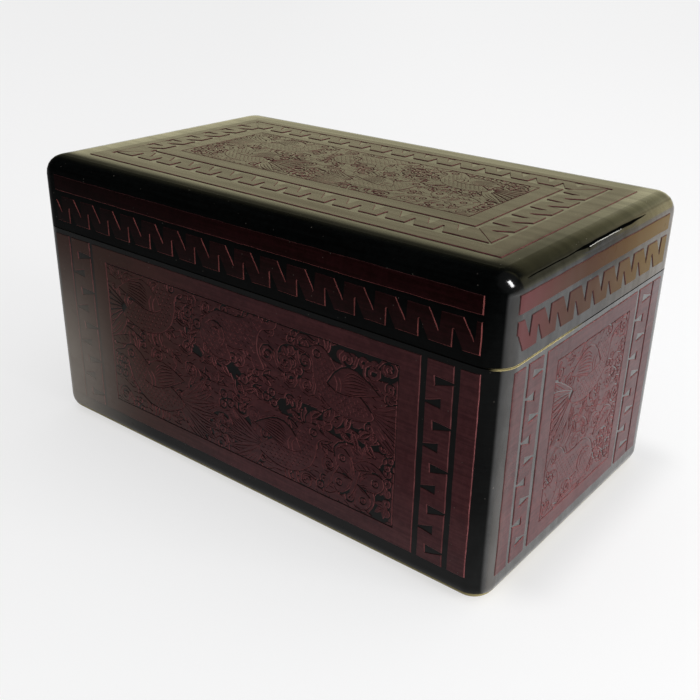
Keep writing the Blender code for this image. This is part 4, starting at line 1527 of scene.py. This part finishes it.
class TEABOX_OT_lid_side_ornament(bpy.types.Operator):
    """Cut the bars and zigzags round the lid"""

    bl_idname = "teabox.lid_side_ornament"
    bl_label = "Lid Side Ornament"

    def execute(self, context):
        sizes = context.scene.tea_box_ornament
        faces = box_faces()
        # The lid's ends take the dimmed wall red, a painted shade, on all their walls.
        top, dull = coat_finish("maroon_lacquer_lid"), coat_finish("cut_wall_top")
        long_plan = (LONG_LID, (top, coat_finish("cut_wall_lid"), coat_finish("cut_wall_shaded")))
        end_plan = (END_LID, (top, dull, dull))
        plans = {"front": long_plan, "back": long_plan, "right": end_plan, "left": end_plan}
        for side, (layout, finishes) in plans.items():
            relief_piece(f"lid_{side}_relief", lid_side_ornament(layout, sizes), faces[side], "lid", finishes)
        return {"FINISHED"}


class TEABOX_OT_lid_top_ornament(bpy.types.Operator):
    """Cut the ornament on top of the lid"""

    bl_idname = "teabox.lid_top_ornament"
    bl_label = "Lid Top Ornament"

    def execute(self, context):
        carving = lid_top_ornament(top_field(), context.scene.tea_box_ornament)
        # The top's walls take the dimmed wall red, a painted shade, and darker painted shade where they face
        # away from the light.
        finishes = [coat_finish(n) for n in ("maroon_lacquer_top", "cut_wall_top", "cut_wall_shaded")]
        relief_piece("lid_top_relief", carving, box_faces()["top"], "lid", finishes)
        return {"FINISHED"}


# The crack along the lid's right edge, in millimetres from the box's middle, with angles up the rounding
CRACK_FROM, CRACK_TO = -58.0, 37.0
CRACK_STEPS = 95
CRACK_ANGLE = 38.5
CRACK_WANDER, WANDER_SPAN = 1.6, 9
LIP_FROM, LIP_TO = -15.0, 15.0
LIP_LIFT, LIP_FULLNESS = 0.45, 0.6
LIP_UNEVEN, LIP_SPAN = 0.35, 3
# Where the lip's edge gets a painted glint: its least lift, a noise level and the noise's span.
GLINT_LIFT, GLINT_LEVEL, GLINT_SPAN = 0.12, -0.38, 2.6

# How the crack gapes: it opens over a length, is narrow up to a place, then widens, and closes at the end
OPENING, CLOSING = 10, 14
NARROW_GAPE, NARROW_TO, WIDENING = 0.2, -24, 9
CLOSED_WIDTH = 0.15
CLOSED_OFF = 0.5

# The crack's section: angle, share of the lift, stand-off in millimetres and finish of the next side
# Finishes of the crack: the lid's coat, a painted glint on the lip's edge, and a dark painted shadow in the
# crack.
CRACK_FINISHES = ("lid", "painted_glint", "gap")
CRACK_SECTION = (
    (15.0, 0.0, -0.1, "lid"), (25.0, 0.35, 0.0, "lid"), (34.2, 1.0, 0.05, "painted_glint"), (35.6, 0.9, 0.0, "gap"),
    (36.6, 0.0, 0.05, "gap"), (42.5, 0.0, 0.05, "gap"), (43.5, 0.0, -0.1, "gap"),
)


def crack_at(y):
    """The crack at a place: its lip's lift, its wander in degrees, how far it gapes, and whether its lip's
    edge gets a painted glint.

    It opens from its near end, stays narrow as far as the lip, and closes again at its far end.
    """
    t = (y - LIP_FROM) / (LIP_TO - LIP_FROM)
    lift = LIP_LIFT * math.sin(math.pi * min(max(t, 0), 1)) ** LIP_FULLNESS
    lift *= 1 + LIP_UNEVEN * noise.noise(Vector((y / LIP_SPAN, 0, 1)))
    wander = CRACK_WANDER * noise.noise(Vector((y / WANDER_SPAN, 0, 5)))
    widening = NARROW_GAPE + max(y - NARROW_TO, 0) / WIDENING
    gape = min(1.0, (y - CRACK_FROM) / OPENING, widening, (CRACK_TO - y) / CLOSING)
    glinting = lift > GLINT_LIFT and noise.noise(Vector((y / GLINT_SPAN, 3, 1))) > GLINT_LEVEL
    return lift, wander, gape, glinting


class TEABOX_OT_crack(bpy.types.Operator):
    """Crack the lacquer along the lid's right edge and lift its lip, with a painted glint on the lip's edge
    and a painted shadow in the crack
    """

    bl_idname = "teabox.crack"
    bl_label = "Edge Crack"

    def execute(self, context):
        finish = context.scene.tea_box_finish
        middle = Vector((LENGTH / 2 - TOP_ROUND, 0, HEIGHT - TOP_ROUND))
        mesh = bmesh.new()
        rings = []
        for i in range(CRACK_STEPS + 1):
            y = CRACK_FROM + (CRACK_TO - CRACK_FROM) * i / CRACK_STEPS
            lift, wander, gape, glinting = crack_at(y)
            width = CLOSED_WIDTH + (1 - CLOSED_WIDTH) * gape
            stand = CLOSED_OFF + (1 - CLOSED_OFF) * gape
            loop = []
            for angle, share, off, _ in CRACK_SECTION:
                angle = math.radians(CRACK_ANGLE + wander + (angle - CRACK_ANGLE) * width)
                reach = TOP_ROUND + share * lift + off * stand
                spot = middle + Vector((reach * math.cos(angle), y, reach * math.sin(angle)))
                loop.append(mesh.verts.new(spot * MM))
            rings.append((loop, glinting))
        for (near, _), (far, glinting) in zip(rings, rings[1:]):
            for k, (_, _, _, kind) in enumerate(CRACK_SECTION):
                n = (k + 1) % len(CRACK_SECTION)
                kind = "gap" if kind == "painted_glint" and not glinting else kind
                side = mesh.faces.new((near[k], far[k], far[n], near[n]))
                side.material_index = CRACK_FINISHES.index(kind)
        mesh.faces.new(rings[0][0])
        mesh.faces.new(rings[-1][0][::-1])
        bmesh.ops.recalc_face_normals(mesh, faces=mesh.faces[:])
        # A pale painted glint for the lip's edge, and a black painted shadow for the crack.
        painted_glint, gap = chalky("lip_painted_glint", finish.painted_glint), chalky("crack_painted_shadow", finish.black, 0.0)
        add_piece("lid_right_crack", mesh, (coat_finish("black_lacquer_lid"), painted_glint, gap), "lid")
        return {"FINISHED"}


class TEABOX_OT_woodwork(bpy.types.Operator):
    """Give boards, rails and dividers their grain"""

    bl_idname = "teabox.woodwork"
    bl_label = "Woodwork"

    def execute(self, context):
        finish = context.scene.tea_box_finish
        across = named("left_board", "right_board", "left_rail", "right_rail", "cross_divider")
        along = [n for n in named("_board", "_rail", "_divider") if n not in across]
        dress(along, wood("linaloe_wood_long", finish, "XYZ"))
        dress(across, wood("linaloe_wood_across", finish, "YXZ"))
        return {"FINISHED"}


class TEABOX_OT_hardware(bpy.types.Operator):
    """Give hinges, screws, pins and nails their metal"""

    bl_idname = "teabox.hardware"
    bl_label = "Hinges and Nails"

    def execute(self, context):
        finish = context.scene.tea_box_finish
        dress(named("_leaf", "_screw"), metal("aged_brass", finish.brass, finish.brass_dull, 0.02))
        dress(named("_pin", "_nail"), metal("nail_steel_rusted", finish.steel, finish.rust, 0.0))
        return {"FINISHED"}


# The stage, in metres

LAMPS_AIM = Vector((0, 0, 0.06))
KEY_PLACE, KEY_SIZE = (1.3, 0.15, 0.28), 0.7
FILL_PLACE, FILL_SIZE = (0.0, 0.15, 1.7), 1.6
STRIP_PLACE, STRIP_SIZE = (0.855, 0.0, 0.87), (0.22, 0.5)
TABLE_HALF = 6
SENSOR_WIDTH = 36
NEAR_CLIP = 0.01

# A painted shadow on the table by the box's right and back: the glow's share there, its reach, and how far
# behind the front it begins, in mm
PAINTED_SHADOW_GLOW = 0.78
PAINTED_SHADOW_REACH = 25 * MM
PAINTED_SHADOW_FRONT = 30

# Painted shade on the table towards the near left: the glow's share there, the way in which it rises, and
# where the rise begins and ends
LEFT_SHADE_GLOW = 0.95
GLOW_WAY = {"X": 0.785, "Y": 0.62}
GLOW_FROM, GLOW_TO = -0.3, 0.25

# What camera and reflections see around the box
BACKDROP = (0.92, 0.92, 0.925, 1.0)
CREAM_HIGH, CREAM_LOW = (0.66, 0.61, 0.3, 1.0), (1.2, 1.12, 0.72, 1.0)
ROOM_HIGH, ROOM_LOW = (0.05, 0.05, 0.05, 1.0), (0.75, 0.77, 0.76, 1.0)
CREAM_WAY = (-0.3, 0.95, 0.0)
BRIGHT_WAY = (0.85, 0.4, 0.1)
WHITE = (1.0, 1.0, 1.0, 1.0)


class TEABOX_OT_stage(bpy.types.Operator):
    """Set the table, the lamps, the surroundings and the camera"""

    bl_idname = "teabox.stage"
    bl_label = "Stage"

    def execute(self, context):
        stage = context.scene.tea_box_stage
        set_table(stage)
        set_surroundings(context.scene, stage)
        lamp("key_softbox", KEY_PLACE, KEY_SIZE, stage.key).visible_glossy = False
        lamp("fill_softbox", FILL_PLACE, FILL_SIZE, stage.fill).visible_glossy = False
        strip = lamp("corner_strip", STRIP_PLACE, STRIP_SIZE[0], stage.glint)
        strip.visible_diffuse = False
        strip.data.shape = "RECTANGLE"
        strip.data.size_y = STRIP_SIZE[1]
        set_camera(context.scene, stage)
        context.scene.view_settings.view_transform = "Standard"
        return {"FINISHED"}


def shown_rays(nodes):
    """One for rays that show a background: straight to the camera, mirrored or through glass."""
    path = nodes.add("ShaderNodeLightPath").outputs
    mirrored = nodes.math("MAXIMUM", path["Is Glossy Ray"], path["Is Transmission Ray"])
    return nodes.math("MAXIMUM", path["Is Camera Ray"], mirrored), path


def set_table(stage):
    """A wide pale table that keeps the shadow, with a painted shadow by the box's right and back and painted
    shade towards the near left.
    """
    mesh = bmesh.new()
    bmesh.ops.create_grid(mesh, x_segments=1, y_segments=1, size=TABLE_HALF)
    data = bpy.data.meshes.new("table")
    mesh.to_mesh(data)
    mesh.free()
    table = bpy.data.objects.new("table", data)
    bpy.context.scene.collection.objects.link(table)
    material, nodes, shader, vector = finish_material("pale_table", stage.floor, 0.0, 0.9)
    shader["Base Color"].default_value = rgba(stage.floor)
    shader["Emission Color"].default_value = WHITE
    place = nodes.axes(vector)
    # Painted shadow: the glow fades near the box's right and back.
    beyond = []
    for axis, low, high in (("X", LID_LOW.x, LID_HIGH.x), ("Y", from_front(PAINTED_SHADOW_FRONT), LID_HIGH.y)):
        off = nodes.math("ABSOLUTE", nodes.math("SUBTRACT", place[axis], (low + high) / 2))
        beyond.append(nodes.math("MAXIMUM", nodes.math("SUBTRACT", off, (high - low) / 2), 0.0))
    away = nodes.math("SQRT", nodes.math("ADD", *(nodes.times(b, b) for b in beyond)))
    glow = nodes.ramp(away, 0.0, PAINTED_SHADOW_REACH, PAINTED_SHADOW_GLOW * stage.table_white, stage.table_white)
    # Painted shade: the glow falls towards the near left.
    across = nodes.math("ADD", *(nodes.times(place[axis], share) for axis, share in GLOW_WAY.items()))
    glow = nodes.times(glow, nodes.ramp(across, GLOW_FROM, GLOW_TO, LEFT_SHADE_GLOW, 1.0))
    nodes.feed(shader["Emission Strength"], nodes.times(shown_rays(nodes)[0], glow))
    data.materials.append(material)


def set_surroundings(scene, stage):
    """Soft light, mostly from the right. Reflections see a cream glow behind on the left, and a dark room."""
    world = bpy.data.worlds.new("studio_room")
    world.use_nodes = True
    scene.world = world
    nodes = Nodes(world.node_tree)
    shown, path = shown_rays(nodes)
    way = nodes.add("ShaderNodeTexCoord").outputs["Generated"]
    up = nodes.vector_math("DOT_PRODUCT", way, (0, 0, 1))["Value"]
    behind = nodes.vector_math("DOT_PRODUCT", way, CREAM_WAY)["Value"]
    bright = nodes.vector_math("DOT_PRODUCT", way, BRIGHT_WAY)["Value"]
    glow = nodes.times(nodes.ramp(behind, 0.5, 0.75), nodes.ramp(up, 0.85, 0.7))
    cream = nodes.mix(nodes.ramp(up, 0.5, 0.3), CREAM_HIGH, CREAM_LOW)
    room = nodes.mix(nodes.ramp(up, 0.2, 0.0), ROOM_HIGH, ROOM_LOW)
    seen = nodes.mix(path["Is Camera Ray"], nodes.mix(glow, room, cream), BACKDROP)
    level = nodes.ramp(bright, -0.7, 0.8, 0.4 * stage.ambient, 1.6 * stage.ambient)
    level = nodes.math("ADD", level, nodes.ramp(up, 0.1, 0.9, 0.0, 0.65 * stage.ambient))
    background = world.node_tree.nodes["Background"].inputs
    nodes.feed(background["Color"], nodes.mix(shown, WHITE, seen))
    nodes.feed(background["Strength"], nodes.blend(shown, level, 1.0))


def lamp(name, at, size, power):
    """A square softbox that faces the middle of the box."""
    data = bpy.data.lights.new(name, "AREA")
    data.size = size
    data.energy = power
    light = bpy.data.objects.new(name, data)
    light.location = at
    light.rotation_euler = (LAMPS_AIM - light.location).to_track_quat("-Z", "Y").to_euler()
    bpy.context.scene.collection.objects.link(light)
    return light


def set_camera(scene, stage):
    """The photograph's viewpoint."""
    data = bpy.data.cameras.new("photo_camera")
    data.sensor_width = SENSOR_WIDTH
    data.lens = stage.lens
    data.clip_start = NEAR_CLIP
    turn, tilt, lean = stage.azimuth, stage.elevation, stage.roll
    back = Vector((math.sin(turn) * math.cos(tilt), -math.cos(turn) * math.cos(tilt), math.sin(tilt)))
    level = Vector((math.cos(turn), math.sin(turn), 0))
    upright = back.cross(level)
    right = math.cos(lean) * level + math.sin(lean) * upright
    up = -math.sin(lean) * level + math.cos(lean) * upright
    camera = bpy.data.objects.new("photo_camera", data)
    matrix = Matrix((right, up, back)).transposed().to_4x4()
    matrix.translation = Vector(stage.eye)
    camera.matrix_world = matrix
    scene.collection.objects.link(camera)
    scene.camera = camera


class TEABOX_PT_looks(bpy.types.Panel):
    """Sizes and colours of the looks, and the steps that make them"""

    bl_idname = "TEABOX_PT_looks"
    bl_label = "Tea Box Looks"
    bl_space_type = "VIEW_3D"
    bl_region_type = "UI"
    bl_category = "Tea Box"

    def draw(self, context):
        for name, _ in GROUPS:
            box = self.layout.box()
            group = getattr(context.scene, name)
            for label in group.__annotations__:
                box.prop(group, label)
        for step in STEPS:
            self.layout.operator(step.bl_idname)


GROUPS = (
    ("tea_box_ornament", TeaBoxOrnament),
    ("tea_box_finish", TeaBoxFinish),
    ("tea_box_stage", TeaBoxStage),
)
STEPS = (
    TEABOX_OT_stage,
    TEABOX_OT_coats,
    TEABOX_OT_base_ornament,
    TEABOX_OT_lid_side_ornament,
    TEABOX_OT_lid_top_ornament,
    TEABOX_OT_crack,
    TEABOX_OT_woodwork,
    TEABOX_OT_hardware,
)


def register():
    for name, group in GROUPS:
        bpy.utils.register_class(group)
        setattr(bpy.types.Scene, name, PointerProperty(type=group))
    for step in STEPS:
        bpy.utils.register_class(step)
    bpy.utils.register_class(TEABOX_PT_looks)


def unregister():
    bpy.utils.unregister_class(TEABOX_PT_looks)
    for step in reversed(STEPS):
        bpy.utils.unregister_class(step)
    for name, group in reversed(GROUPS):
        delattr(bpy.types.Scene, name)
        bpy.utils.unregister_class(group)


def main():
    register()
    bpy.ops.teabox.stage()
    bpy.ops.teabox.coats()
    bpy.ops.teabox.base_ornament()
    bpy.ops.teabox.lid_side_ornament()
    bpy.ops.teabox.lid_top_ornament()
    bpy.ops.teabox.crack()
    bpy.ops.teabox.woodwork()
    bpy.ops.teabox.hardware()


if __name__ == "__main__":
    main()
